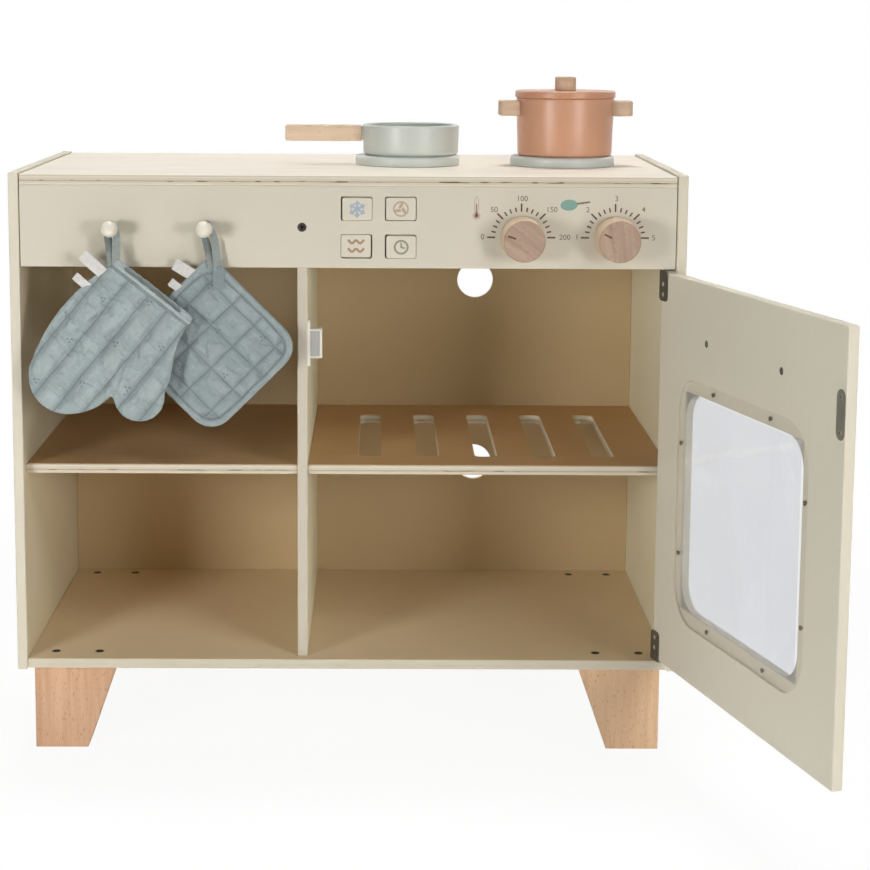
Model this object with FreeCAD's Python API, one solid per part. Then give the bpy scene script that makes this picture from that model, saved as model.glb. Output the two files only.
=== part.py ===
import FreeCAD, Part
import math
import os
from collections import namedtuple

# Wooden toy kitchen with an oven door, controls, cookware and two hanging textiles.
# All lengths are millimetres and all angles degrees: x runs right, y to the back, z up.
# While it is modelled, x = 0 is the middle of the cabinet, y = 0 the front of its sides
# and z = 0 the floor. At the end the whole is moved so that the origin is the middle of
# the floor area that it covers with its door open.

Vector = FreeCAD.Vector
Rotation = FreeCAD.Rotation
RIGHT = Vector(1, 0, 0)
LEFT = Vector(-1, 0, 0)
BACK = Vector(0, 1, 0)
FRONT = Vector(0, -1, 0)
UP = Vector(0, 0, 1)
DOWN = Vector(0, 0, -1)
SIDES = (("left", -1), ("right", 1))

# Cabinet sizes
cabinet_width = 600.0
cabinet_depth = 300.0
panel_thickness = 9.0
back_thickness = 4.0
edge_round = 1.2
worktop_height = 527.5
side_top_lip = 1.5
side_bottom_lip = 1.0
front_setback = 1.0
fascia_height = 73.0
oven_width = 327.5
shelf_height = 178.5
shelf_setback = 14.0

# Legs
leg_height = 77.0
leg_top_width = 75.0
leg_foot_width = 48.0
leg_thickness = 32.0
leg_side_inset = 14.0
leg_front_inset = 7.0
leg_back_inset = 3.0
leg_round = 1.5
leg_screw_spacing = 40.0

# Oven rack slots and the two holes in the back panel
slot_count = 5
slot_width = 21.0
slot_pitch = 54.0
slot_length = 193.0
slot_front_margin = 36.0
slot_corner = 6.0
vent_radius = 18.5
vent_above_shelf = 133.0
vent_above_floor = 118.0

# Hob discs
hob_radius = 49.5
hob_thickness = 9.5
hob_round = 3.0
hob_y = 152.0
hob_right_inset = 89.0
hob_spacing = 148.0

# Fascia: line of the pegs, screw and buttons, and line of the dials
control_above_fascia_edge = 36.2
dial_above_fascia_edge = 27.7

# Ball pegs
peg_left_inset = 83.1
peg_spacing = 82.5
peg_neck_radius = 4.0
peg_neck_length = 17.0
peg_ball_radius = 7.3
peg_ball_centre = 22.5
peg_tenon_radius = 3.0
peg_tenon_length = 8.0

# Push buttons and the tray behind them
button_group_from_divider = 63.3
button_pitch_x = 39.0
button_pitch_z = 33.6
button_hole_width = 28.0
button_hole_height = 21.7
button_play = 0.6
button_corner = 2.0
button_edge = 0.8
button_stand_proud = 0.6
button_flange_lip = 2.0
button_flange_thickness = 2.4
button_travel = 3.0
tray_half_width = 47.0
tray_half_height = 34.5
tray_wall = 4.0
tray_depth = 17.0
tray_ear_width = 11.0
tray_ear_thickness = 4.0
tray_screw_inset = 12.0

# Button springs
spring_radius = 4.6
spring_wire_radius = 0.5
spring_turns = 3
spring_spigot_radius = 3.6
spring_spigot_length = 2.0

# Knobs
knob_right_inset = 54.2
knob_spacing = 83.0
knob_radius = 18.0
knob_length = 32.0
knob_edge = 2.0
spindle_radius = 5.0
spindle_socket = 20.0
spindle_overhang = 1.5
retainer_radius = 9.0
retainer_thickness = 1.5

# Oven door, its pivots and its window
door_setback = 0.5
door_gap_top = 2.0
door_gap_bottom = 2.0
door_corner = 2.5
door_overlap = 4.5
door_open_angle = 106.0
pivot_side_gap = 6.5
pivot_edge_distance = 3.7
pivot_radius = 2.0
pivot_depth = 9.0
pivot_reach = 5.0
pivot_collar_radius = 4.0
pivot_collar_thickness = 0.5
leaf_thickness = 1.2
leaf_width = 16.0
leaf_height = 26.0
leaf_past_edge = 2.0
leaf_corner = 4.0
window_width = 211.0
window_height = 194.0
window_corner = 24.0
window_centre_from_hinge = 158.5
window_centre_height = 159.5
rebate_lip = 13.0
rebate_depth = 2.6
pane_thickness = 2.0
pane_margin = 0.4
pane_screw_inset = 6.5
pane_screw_span_x = 103.0
pane_screw_span_z = 99.0

# Door handle
handle_length = 162.0
handle_projection = 26.0
handle_bar_thickness = 12.0
handle_height = 18.0
handle_foot_width = 26.0
handle_edge = 3.0
handle_screw_span = 134.0
handle_centre_from_hinge = 161.0
handle_drop = 51.0

# Magnetic catch and its strike plate
catch_drop = 69.5
catch_width = 13.0
catch_body_height = 27.0
catch_depth = 15.0
catch_ear_height = 41.5
catch_ear_thickness = 2.5
catch_wall = 2.0
magnet_depth = 12.0
pole_thickness = 1.2
pole_gap = 0.3
strike_width = 12.8
strike_length = 38.6
strike_thickness = 1.0
strike_recess = 0.8
strike_from_free_edge = 7.7
strike_screw_span = 27.0

# Pan
pan_radius = 46.0
pan_foot_radius = 45.2
pan_height = 28.7
pan_wall = 4.8
pan_floor = 6.0
pan_bottom_round = 4.0
pan_offset = 3.0
pan_handle_length = 73.5
pan_handle_width = 14.0
pan_handle_height = 15.0
pan_handle_drop = 1.0

# Pot and lid
pot_radius = 46.4
pot_foot_radius = 44.8
pot_height = 55.0
pot_wall = 5.0
pot_floor = 7.0
pot_bottom_round = 3.0
pot_offset = 2.2
pot_handle_reach = 17.0
pot_handle_width = 30.0
pot_handle_height = 14.2
pot_handle_drop = 3.0
pot_handle_corner = 5.0
lid_radius = 47.7
lid_thickness = 6.6
lid_spigot_depth = 4.0
lid_spigot_play = 0.8
lid_edge = 1.8
lid_knob_radius = 10.0
lid_knob_height = 13.0
lid_knob_edge = 1.4
rim_round = 1.2

# Dowel joints of the cookware handles
dowel_radius = 3.5
dowel_length = 3.6
wood_edge = 2.2

# Oven mitt, in its own directions: along the cuff, and from the cuff to the finger tips
mitt_cuff_offset = 4.6
mitt_cuff_drop = 28.7
mitt_tilt = 37.6
mitt_cuff_width = 84.0
mitt_hand_length = 143.0
mitt_hand_bulge = 13.5
mitt_thumb_length = 105.0
mitt_thumb_reach = 22.0
mitt_notch_along = 69.0
mitt_notch_depth = 95.0
mitt_y = -17.8
mitt_ridge = 7.4
mitt_valley = 5.4
mitt_side_inset = 0.1
mitt_shoulder = 0.6
mitt_shoulder_inset = 0.4
mitt_crown_radius = 900.0
mitt_channel_pitch = 20.0
mitt_channel_angle = 51.0
mitt_pocket_thickness = 5.0
mitt_pocket_depth = 100.0
mitt_pocket_margin = 11.0

# Pot holder
holder_offset = 3.9
holder_drop = 105.7
holder_side = 116.0
holder_corner = 22.0
holder_top_corner = 8.0
holder_y = -5.6
holder_ridge = 4.0
holder_valley = 2.7
holder_edge_round = 1.8
holder_channel_pitch = 27.0

# Hanging loops of both textiles
loop_play = 1.0
loop_thickness = 1.4
loop_tail_radius = 2.0
loop_width = 7.0
loop_from_face = 10.0
mitt_loop_length = 31.0
mitt_loop_lean = 6.0
holder_loop_length = 32.0
holder_loop_lean = 9.0
holder_loop_from_face = 3.5

# Fasteners: countersunk wood screws, with their heads in proportion to the shank
screw_head_ratio = 2.0
screw_head_depth_ratio = 1.1
board_screw_radius = 2.0
panel_screw_length = 32.0
leg_screw_length = 38.0
back_screw_radius = 1.5
back_screw_length = 18.0
fitting_screw_radius = 1.0
fitting_screw_length = 6.5
handle_screw_radius = 1.6
handle_screw_length = 26.0
tray_screw_length = 10.5
retainer_screw_length = 10.0

# Clearances
screw_clearance = 0.1
running_clearance = 0.05
joint_clearance = 0.3
glue_gap = 0.1

# Places that follow from the sizes
half_width = cabinet_width / 2
inner_half = half_width - panel_thickness
floor_top = leg_height + panel_thickness
worktop_under = worktop_height - panel_thickness
fascia_bottom = worktop_under - fascia_height
fascia_face = front_setback
fascia_back = front_setback + panel_thickness
back_face = cabinet_depth - back_thickness
divider_right = inner_half - oven_width
divider_left = divider_right - panel_thickness
divider_x = (divider_left + divider_right) / 2
shelf_top = floor_top + shelf_height
oven_centre_x = (divider_right + inner_half) / 2
vent_upper_height = shelf_top + vent_above_shelf
vent_lower_height = floor_top + vent_above_floor
hob_top = worktop_height + hob_thickness
hob_right_x = inner_half - hob_right_inset
hob_left_x = hob_right_x - hob_spacing
control_height = fascia_bottom + control_above_fascia_edge
dial_height = fascia_bottom + dial_above_fascia_edge
peg_left_x = peg_left_inset - inner_half
peg_right_x = peg_left_x + peg_spacing
button_group_x = divider_right + button_group_from_divider
knob_right_x = inner_half - knob_right_inset
knob_left_x = knob_right_x - knob_spacing
catch_height = fascia_bottom - catch_drop
mitt_cuff_x = peg_left_x + mitt_cuff_offset
mitt_cuff_height = control_height - mitt_cuff_drop
holder_x = peg_right_x + holder_offset
holder_height = control_height - holder_drop
door_back = door_setback + panel_thickness
door_bottom = floor_top + door_gap_bottom
door_top = fascia_bottom - door_gap_top
pivot_x = inner_half - pivot_side_gap
pivot_y = door_setback + panel_thickness / 2
hinge_edge_x = pivot_x + pivot_edge_distance
free_edge_x = divider_right - door_overlap

Screw = namedtuple("Screw", "radius length")
panel_screw = Screw(board_screw_radius, panel_screw_length)
leg_screw = Screw(board_screw_radius, leg_screw_length)
back_screw = Screw(back_screw_radius, back_screw_length)
fitting_screw = Screw(fitting_screw_radius, fitting_screw_length)
handle_screw = Screw(handle_screw_radius, handle_screw_length)
tray_screw = Screw(back_screw_radius, tray_screw_length)
retainer_screw = Screw(back_screw_radius, retainer_screw_length)

parts = {}


def put(name, *solids):
    """Keep one solid, or a group of separate solids, under a node's name."""
    parts[name] = solids[0] if len(solids) == 1 else Part.makeCompound(solids)


def block(x0, x1, y0, y1, z0, z1):
    """Return a sharp box between two corners."""
    return Part.makeBox(x1 - x0, y1 - y0, z1 - z0, Vector(x0, y0, z0))


def board(x0, x1, y0, y1, z0, z1):
    """Return a board whose edges are all broken to the cabinet's edge radius."""
    blank = block(x0, x1, y0, y1, z0, z1)
    return blank.makeFillet(edge_round, blank.Edges)


def lies_along(edge, axis):
    """Tell whether an edge is a straight one parallel to an axis."""
    if not isinstance(edge.Curve, (Part.Line, Part.LineSegment)):
        return False
    return abs(abs(edge.tangentAt(edge.FirstParameter).dot(axis)) - 1) < 1e-6


def rounded_block(x0, x1, y0, y1, z0, z1, axis, radius):
    """Return a box whose four edges along an axis are rounded."""
    blank = block(x0, x1, y0, y1, z0, z1)
    return blank.makeFillet(radius, [edge for edge in blank.Edges if lies_along(edge, axis)])


def turned(profile, base, direction, rounds=()):
    """Return a turned piece: a profile of (radius, height) points, spun and set on its base.

    rounds names the circular edges to soften, as (edge radius, edge height, fillet radius).
    """
    corners = [Vector(radius, 0, height) for radius, height in profile]
    solid = Part.Face(Part.makePolygon(corners + corners[:1])).revolve(Vector(), UP, 360)
    for radius, height, fillet in rounds:
        rims = [
            edge
            for edge in solid.Edges
            if isinstance(edge.Curve, Part.Circle)
            and abs(edge.Curve.Radius - radius) < 1e-6
            and abs(edge.Curve.Center.z - height) < 1e-6
        ]
        solid = solid.makeFillet(fillet, rims)
    solid.Placement = FreeCAD.Placement(base, Rotation(UP, direction))
    return solid


def rod(radius, base, direction, length):
    """Return a plain round rod."""
    return Part.makeCylinder(radius, length, base, direction)


def screw(kind, point, direction, spare=0.0):
    """Return a countersunk screw whose head lies flush at a point; spare widens it to its hole."""
    head = kind.radius * screw_head_ratio + spare
    shank = kind.radius + spare
    depth = kind.radius * screw_head_depth_ratio
    end = kind.length + spare
    profile = [(0, 0), (head, 0), (shank, depth), (shank, end), (0, end)]
    return turned(profile, point, direction)


def fasten(name, kind, places, pieces):
    """Set screws at (point, direction) places and cut their holes in the pieces they go through."""
    for piece in pieces:
        for point, direction in places:
            hole = screw(kind, point, direction, screw_clearance)
            parts[piece] = parts[piece].cut(hole)
    put(name, *[screw(kind, point, direction) for point, direction in places])


def make_carcass():
    """Make the sides, worktop, fascia, bottom, divider, back and shelves."""
    for side, sign in SIDES:
        outer = sign * half_width
        inner = sign * inner_half
        put(
            f"side_panel_{side}",
            board(
                min(outer, inner),
                max(outer, inner),
                0,
                cabinet_depth,
                leg_height - side_bottom_lip,
                worktop_height + side_top_lip,
            ),
        )
    span = (-inner_half, inner_half)
    put("worktop", board(*span, front_setback, cabinet_depth, worktop_under, worktop_height))
    put("control_fascia", board(*span, fascia_face, fascia_back, fascia_bottom, worktop_under))
    put("bottom_panel", board(*span, front_setback, back_face, leg_height, floor_top))
    divider = board(divider_left, divider_right, fascia_back, back_face, floor_top, worktop_under)
    put("divider_panel", divider)

    back = board(*span, back_face, cabinet_depth, leg_height, worktop_under)
    for height in (vent_upper_height, vent_lower_height):
        back = back.cut(rod(vent_radius, Vector(oven_centre_x, 0, height), BACK, cabinet_depth))
    put("back_panel", back)

    shelf_levels = (shelf_setback, back_face, shelf_top - panel_thickness, shelf_top)
    put("shelf_left", board(-inner_half, divider_left, *shelf_levels))
    rack = board(divider_right, inner_half, *shelf_levels)
    slot_front = shelf_setback + slot_front_margin
    for index in range(slot_count):
        centre = oven_centre_x + (index - (slot_count - 1) / 2) * slot_pitch
        slot = rounded_block(
            centre - slot_width / 2,
            centre + slot_width / 2,
            slot_front,
            slot_front + slot_length,
            shelf_top - 2 * panel_thickness,
            shelf_top + panel_thickness,
            UP,
            slot_corner,
        )
        rack = rack.cut(slot)
    put("oven_rack", rack)


def make_legs():
    """Make four slanted legs and the screws that hold them through the bottom panel."""
    rows = (
        ("front", leg_front_inset),
        ("rear", cabinet_depth - leg_back_inset - leg_thickness),
    )
    places = []
    legs = []
    for row, front in rows:
        for side, sign in SIDES:
            outer = sign * (half_width - leg_side_inset)
            corners = [
                Vector(outer, front, 0),
                Vector(outer - sign * leg_foot_width, front, 0),
                Vector(outer - sign * leg_top_width, front, leg_height),
                Vector(outer, front, leg_height),
            ]
            outline = Part.Face(Part.makePolygon(corners + corners[:1]))
            leg = outline.extrude(BACK * leg_thickness)
            uprights = [edge for edge in leg.Edges if edge.BoundBox.ZLength > leg_height / 2]
            put(f"leg_{row}_{side}", leg.makeFillet(leg_round, uprights))
            legs.append(f"leg_{row}_{side}")
            centre = outer - sign * leg_top_width / 2
            for step in (-0.5, 0.5):
                point = Vector(centre + step * leg_screw_spacing, front + leg_thickness / 2, floor_top)
                places.append((point, DOWN))
    fasten("leg_screws", leg_screw, places, ["bottom_panel", *legs])


def make_hob():
    """Make the two hob discs."""
    profile = [(0, 0), (hob_radius, 0), (hob_radius, hob_thickness), (0, hob_thickness)]
    rounds = [(hob_radius, hob_thickness, hob_round)]
    for side, x in (("left", hob_left_x), ("right", hob_right_x)):
        put(f"hob_disc_{side}", turned(profile, Vector(x, hob_y, worktop_height), UP, rounds))


def make_pegs():
    """Make the two ball pegs with their tenons in the fascia."""
    for side, x in (("left", peg_left_x), ("right", peg_right_x)):
        foot = Vector(x, fascia_face, control_height)
        tenon = rod(peg_tenon_radius, foot, BACK, peg_tenon_length)
        neck = rod(peg_neck_radius, foot, FRONT, peg_neck_length)
        ball = Part.makeSphere(peg_ball_radius, foot + FRONT * (peg_ball_centre + fascia_face))
        put(f"peg_{side}", tenon.fuse(neck).fuse(ball).removeSplitter())
        socket = rod(peg_tenon_radius + running_clearance, foot, BACK, peg_tenon_length + glue_gap)
        parts["control_fascia"] = parts["control_fascia"].cut(socket)


def arc_from_tangent(start, tangent, end):
    """Return the circular arc that leaves start along a tangent and reaches end."""
    chord = end - start
    along = Vector(chord).normalize()
    across = tangent - along * tangent.dot(along)
    half_turn = math.atan2(across.Length, tangent.dot(along))
    middle = (start + end) * 0.5 + across.normalize() * (chord.Length / 2 * math.tan(half_turn / 2))
    return Part.Arc(start, middle, end).toShape()


def biarc(start, tangent, end, end_tangent):
    """Return two arcs that join two points and match the tangents there."""
    chord = end - start
    sum_tangent = tangent + end_tangent
    slack = 2 * (1 - tangent.dot(end_tangent))
    reach = chord.dot(sum_tangent)
    arm = (math.sqrt(reach * reach + slack * chord.dot(chord)) - reach) / slack
    meeting = (start + tangent * arm + end - end_tangent * arm) * 0.5
    first = arc_from_tangent(start, tangent, meeting)
    second = arc_from_tangent(end, end_tangent * -1, meeting)
    return [first, second]


def coil_spring(centre, length):
    """Return a compression spring along +y that starts at a centre, with half-turn biarcs."""
    rise = length - 2 * spring_wire_radius

    def place(half_turns):
        angle = math.pi * half_turns
        share = half_turns / (2 * spring_turns)
        point = Vector(
            spring_radius * math.cos(angle),
            spring_wire_radius + rise * share,
            spring_radius * math.sin(angle),
        )
        slope = rise / (2 * math.pi * spring_turns)
        tangent = Vector(-spring_radius * math.sin(angle), slope, spring_radius * math.cos(angle))
        return centre + point, tangent.normalize()

    edges = []
    for index in range(2 * spring_turns):
        start, tangent = place(index)
        end, end_tangent = place(index + 1)
        first, second = biarc(start, tangent, end, end_tangent)
        edges += [first, second]
    path = Part.Wire(Part.__sortEdges__(edges))
    start, tangent = place(0)
    section = Part.Wire(Part.makeCircle(spring_wire_radius, start, tangent))
    return path.makePipeShell([section], True, False)


def make_buttons():
    """Make the four push buttons, their springs and the tray that holds them in."""
    ear_back = fascia_back + tray_ear_thickness
    tray_back = fascia_back + tray_depth
    tray_floor = tray_back - tray_wall
    west = button_group_x - tray_half_width
    east = button_group_x + tray_half_width
    low = control_height - tray_half_height
    high = control_height + tray_half_height
    tray = block(west, east, fascia_back, tray_back, low, high)
    for x0, x1 in ((west - tray_ear_width, west), (east, east + tray_ear_width)):
        tray = tray.fuse(block(x0, x1, fascia_back, ear_back, low, high))
    hollow = block(
        west + tray_wall,
        east - tray_wall,
        fascia_back - panel_thickness,
        tray_floor,
        low + tray_wall,
        high - tray_wall,
    )
    put("button_tray", tray.cut(hollow).removeSplitter())

    places = []
    for x in (west - tray_ear_width / 2, east + tray_ear_width / 2):
        for z in (low + tray_screw_inset, high - tray_screw_inset):
            places.append((Vector(x, ear_back, z), FRONT))
    fasten("tray_screws", tray_screw, places, ["button_tray", "control_fascia"])

    half_w = button_hole_width / 2 - button_play
    half_h = button_hole_height / 2 - button_play
    face = fascia_face - button_stand_proud
    flange_front = fascia_back + joint_clearance
    flange_back = flange_front + button_flange_thickness
    flange_w = button_hole_width / 2 + button_flange_lip
    flange_h = button_hole_height / 2 + button_flange_lip
    number = 0
    for row in (0.5, -0.5):
        for column in (-0.5, 0.5):
            number += 1
            x = button_group_x + column * button_pitch_x
            z = control_height + row * button_pitch_z
            hole = rounded_block(
                x - button_hole_width / 2,
                x + button_hole_width / 2,
                fascia_face - panel_thickness,
                fascia_back + panel_thickness,
                z - button_hole_height / 2,
                z + button_hole_height / 2,
                BACK,
                button_corner,
            )
            parts["control_fascia"] = parts["control_fascia"].cut(hole)
            key = rounded_block(
                x - half_w, x + half_w, face, flange_front, z - half_h, z + half_h, BACK, button_corner
            )
            front_rim = [edge for edge in key.Edges if edge.BoundBox.YMax < face + 1e-3]
            key = key.makeFillet(button_edge, front_rim)
            flange = block(
                x - flange_w, x + flange_w, flange_front, flange_back, z - flange_h, z + flange_h
            )
            spigot = rod(spring_spigot_radius, Vector(x, flange_back, z), BACK, spring_spigot_length)
            put(f"button_{number}", key.fuse(flange).fuse(spigot).removeSplitter())
            spring = coil_spring(Vector(x, flange_back, z), tray_floor - flange_back)
            put(f"button_spring_{number}", spring)


def make_knobs():
    """Make the two knobs, the spindles they turn on and the retainers behind the fascia."""
    for side, x in (("left", knob_left_x), ("right", knob_right_x)):
        back = fascia_face - joint_clearance
        base = Vector(x, back, dial_height)
        bore = spindle_radius + running_clearance
        profile = [
            (bore, 0),
            (knob_radius, 0),
            (knob_radius, knob_length),
            (0, knob_length),
            (0, spindle_socket),
            (bore, spindle_socket),
        ]
        put(f"knob_{side}", turned(profile, base, FRONT, [(knob_radius, knob_length, knob_edge)]))
        spindle_end = fascia_back + spindle_overhang
        spindle = rod(
            spindle_radius,
            Vector(x, back - spindle_socket + glue_gap, dial_height),
            BACK,
            spindle_end - back + spindle_socket - glue_gap,
        )
        put(f"knob_{side}_spindle", spindle)
        hole = rod(bore, Vector(x, 0, dial_height), BACK, fascia_back + panel_thickness)
        parts["control_fascia"] = parts["control_fascia"].cut(hole)
        washer = rod(retainer_radius, Vector(x, spindle_end, dial_height), BACK, retainer_thickness)
        put(f"knob_{side}_washer", washer)
        place = (Vector(x, spindle_end + retainer_thickness, dial_height), FRONT)
        pieces = [f"knob_{side}_washer", f"knob_{side}_spindle"]
        fasten(f"knob_{side}_retainer", retainer_screw, [place], pieces)
        ring = parts.pop(f"knob_{side}_washer")
        put(f"knob_{side}_retainer", ring, parts[f"knob_{side}_retainer"])


def make_catch():
    """Make the magnetic catch on the divider: an open-fronted housing round a magnet and poles."""
    left = divider_right
    right = divider_right + catch_width
    pole_front = door_back + strike_thickness - strike_recess + pole_gap
    front = pole_front + pole_gap
    back = front + catch_depth
    low = catch_height - catch_body_height / 2
    high = catch_height + catch_body_height / 2
    body = rounded_block(left, right, front, back, low, high, RIGHT, catch_wall)
    ear = rounded_block(
        left,
        left + catch_ear_thickness,
        front,
        back,
        catch_height - catch_ear_height / 2,
        catch_height + catch_ear_height / 2,
        RIGHT,
        catch_wall,
    )
    inner = (left + catch_ear_thickness, right - catch_wall)
    pocket = block(*inner, pole_front, pole_front + magnet_depth, low + catch_wall, high - catch_wall)
    put("catch_housing", body.fuse(ear).cut(pocket).removeSplitter())

    clear = glue_gap
    pole_low = low + catch_wall + clear
    pole_high = high - catch_wall - clear
    pole_back = pole_front + magnet_depth - clear
    pole_left = block(
        inner[0] + clear, inner[0] + clear + pole_thickness, pole_front, pole_back, pole_low, pole_high
    )
    pole_right = block(
        inner[1] - clear - pole_thickness, inner[1] - clear, pole_front, pole_back, pole_low, pole_high
    )
    magnet = block(
        inner[0] + clear + pole_thickness,
        inner[1] - clear - pole_thickness,
        front + pole_gap,
        pole_back,
        pole_low,
        pole_high,
    )
    put("catch_magnet", pole_left, magnet, pole_right)
    ear_middle = (catch_ear_height + catch_body_height) / 4
    places = [
        (Vector(left + catch_ear_thickness, (front + back) / 2, catch_height + sign * ear_middle), LEFT)
        for sign in (-1, 1)
    ]
    fasten("catch_screws", fitting_screw, places, ["catch_housing", "divider_panel"])


def make_door_panel():
    """Make the door board with its window opening, rebate and strike recess, in its closed place."""
    panel = rounded_block(
        free_edge_x, hinge_edge_x, door_setback, door_back, door_bottom, door_top, BACK, door_corner
    )
    rims = [edge for edge in panel.Edges if edge.BoundBox.YLength < 1e-3]
    panel = panel.makeFillet(edge_round, rims)
    centre_x = hinge_edge_x - window_centre_from_hinge
    centre_z = door_bottom + window_centre_height
    half_w = window_width / 2
    half_h = window_height / 2
    opening = rounded_block(
        centre_x - half_w,
        centre_x + half_w,
        door_setback - panel_thickness,
        door_back + panel_thickness,
        centre_z - half_h,
        centre_z + half_h,
        BACK,
        window_corner,
    )
    rebate_w = half_w + rebate_lip
    rebate_h = half_h + rebate_lip
    rebate_corner = window_corner + rebate_lip
    rebate_floor = door_back - rebate_depth
    rebate = rounded_block(
        centre_x - rebate_w,
        centre_x + rebate_w,
        rebate_floor,
        door_back + panel_thickness,
        centre_z - rebate_h,
        centre_z + rebate_h,
        BACK,
        rebate_corner,
    )
    put("door_panel", panel.cut(opening).cut(rebate))

    pane_w = rebate_w - pane_margin
    pane_h = rebate_h - pane_margin
    pane_back = rebate_floor + pane_thickness
    pane = rounded_block(
        centre_x - pane_w,
        centre_x + pane_w,
        rebate_floor,
        pane_back,
        centre_z - pane_h,
        centre_z + pane_h,
        BACK,
        rebate_corner - pane_margin,
    )
    put("window_pane", pane)
    screw_w = rebate_w - pane_screw_inset
    screw_h = rebate_h - pane_screw_inset
    places = []
    for sign in (-1, 1):
        for other in (-0.5, 0.5):
            places.append((centre_x + other * pane_screw_span_x, centre_z + sign * screw_h))
            places.append((centre_x + sign * screw_w, centre_z + other * pane_screw_span_z))
    places = [(Vector(x, pane_back, z), FRONT) for x, z in places]
    fasten("window_screws", fitting_screw, places, ["window_pane", "door_panel"])


def make_strike():
    """Let the strike plate into the door's inner face."""
    x = free_edge_x + strike_from_free_edge
    end = strike_width / 2 - glue_gap
    recess = rounded_block(
        x - strike_width / 2,
        x + strike_width / 2,
        door_back - strike_recess,
        door_back + panel_thickness,
        catch_height - strike_length / 2,
        catch_height + strike_length / 2,
        BACK,
        end,
    )
    parts["door_panel"] = parts["door_panel"].cut(recess)
    plate_face = door_back - strike_recess + strike_thickness
    plate = rounded_block(
        x - strike_width / 2 + glue_gap,
        x + strike_width / 2 - glue_gap,
        door_back - strike_recess,
        plate_face,
        catch_height - strike_length / 2 + glue_gap,
        catch_height + strike_length / 2 - glue_gap,
        BACK,
        end - glue_gap,
    )
    put("strike_plate", plate)
    places = [
        (Vector(x, plate_face, catch_height + sign * strike_screw_span / 2), FRONT) for sign in (-1, 1)
    ]
    fasten("strike_screws", fitting_screw, places, ["strike_plate", "door_panel"])


def make_hinges():
    """Make the two pivot hinges: bent leaves on the door and flanged pins in the cabinet."""
    pins = []
    places = []
    ends = (
        ("top", door_top, 1, "control_fascia", fascia_bottom),
        ("bottom", door_bottom, -1, "bottom_panel", floor_top),
    )
    leaf_right = hinge_edge_x + leaf_past_edge
    leaf_left = leaf_right - leaf_width
    for name, end, sign, carrier, carrier_face in ends:
        tip = end - sign * leaf_height
        flange_face = end + sign * leaf_thickness
        plate = block(
            leaf_left,
            leaf_right,
            door_back,
            door_back + leaf_thickness,
            min(tip, flange_face),
            max(tip, flange_face),
        )
        tip_corners = [
            edge
            for edge in plate.Edges
            if lies_along(edge, BACK) and abs(edge.CenterOfMass.z - tip) < leaf_thickness / 2
        ]
        plate = plate.makeFillet(leaf_corner, tip_corners)
        flange = block(
            leaf_left,
            hinge_edge_x - edge_round,
            pivot_y - pivot_collar_radius,
            door_back + leaf_thickness,
            min(end, flange_face),
            max(end, flange_face),
        )
        leaf = plate.fuse(flange).removeSplitter()
        axis_point = Vector(pivot_x, pivot_y, carrier_face + sign * pivot_depth)
        reach = DOWN * sign
        length = abs(axis_point.z - end) + pivot_reach
        bore = rod(pivot_radius + running_clearance, axis_point, reach, length)
        leaf = leaf.cut(bore)
        put(f"hinge_leaf_{name}", leaf)
        wide_bore = rod(pivot_radius + joint_clearance, axis_point, reach, length + joint_clearance)
        parts["door_panel"] = parts["door_panel"].cut(wide_bore)
        pin = rod(pivot_radius, axis_point, reach, length)
        collar_start = Vector(pivot_x, pivot_y, carrier_face)
        pin = pin.fuse(rod(pivot_collar_radius, collar_start, reach, pivot_collar_thickness))
        pins.append(pin.removeSplitter())
        socket = rod(pivot_radius + running_clearance, axis_point, reach, pivot_depth)
        parts[carrier] = parts[carrier].cut(socket)
        for share in (0.42, 0.78):
            point = Vector(
                (leaf_left + leaf_right) / 2, door_back + leaf_thickness, end - sign * leaf_height * share
            )
            places.append((point, FRONT))
    put("hinge_pivots", *pins)
    pieces = ["hinge_leaf_top", "hinge_leaf_bottom", "door_panel"]
    fasten("hinge_screws", fitting_screw, places, pieces)


def make_door_handle():
    """Make the bowed bar handle on the door's outer face, with a finger gap behind the bar."""
    centre_x = hinge_edge_x - handle_centre_from_hinge
    centre_z = door_top - handle_drop
    half = handle_length / 2
    foot = half - handle_foot_width
    gap = handle_projection - handle_bar_thickness
    blend = gap / 2

    def at(along, out):
        return Vector(centre_x + along, door_setback - out, centre_z - handle_height / 2)

    edges = [
        Part.makeLine(at(-half, 0), at(-half, gap)),
        Part.Arc(at(-half, gap), at(0, handle_projection), at(half, gap)).toShape(),
        Part.makeLine(at(half, gap), at(half, 0)),
        Part.makeLine(at(half, 0), at(foot, 0)),
        Part.makeLine(at(foot, 0), at(foot - blend, gap)),
        Part.makeLine(at(foot - blend, gap), at(blend - foot, gap)),
        Part.makeLine(at(blend - foot, gap), at(-foot, 0)),
        Part.makeLine(at(-foot, 0), at(-half, 0)),
    ]
    bar = Part.Face(Part.Wire(edges)).extrude(UP * handle_height)
    outer = [
        edge
        for edge in bar.Edges
        if edge.BoundBox.YMin < door_setback - gap + 1e-3 and edge.BoundBox.XLength > handle_length / 2
    ]
    put("door_handle", bar.makeFillet(handle_edge, outer))
    places = [
        (Vector(centre_x + sign * handle_screw_span / 2, door_back, centre_z), FRONT) for sign in (-1, 1)
    ]
    fasten("handle_screws", handle_screw, places, ["door_panel", "door_handle"])


def turn_door_open():
    """Turn everything on the door about its pivots, from closed to the angle it rests at."""
    for name in list(parts):
        if name.startswith(("door_", "window_", "strike_", "handle_", "hinge_leaf", "hinge_screws")):
            parts[name].rotate(Vector(pivot_x, pivot_y, 0), UP, door_open_angle)


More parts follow.
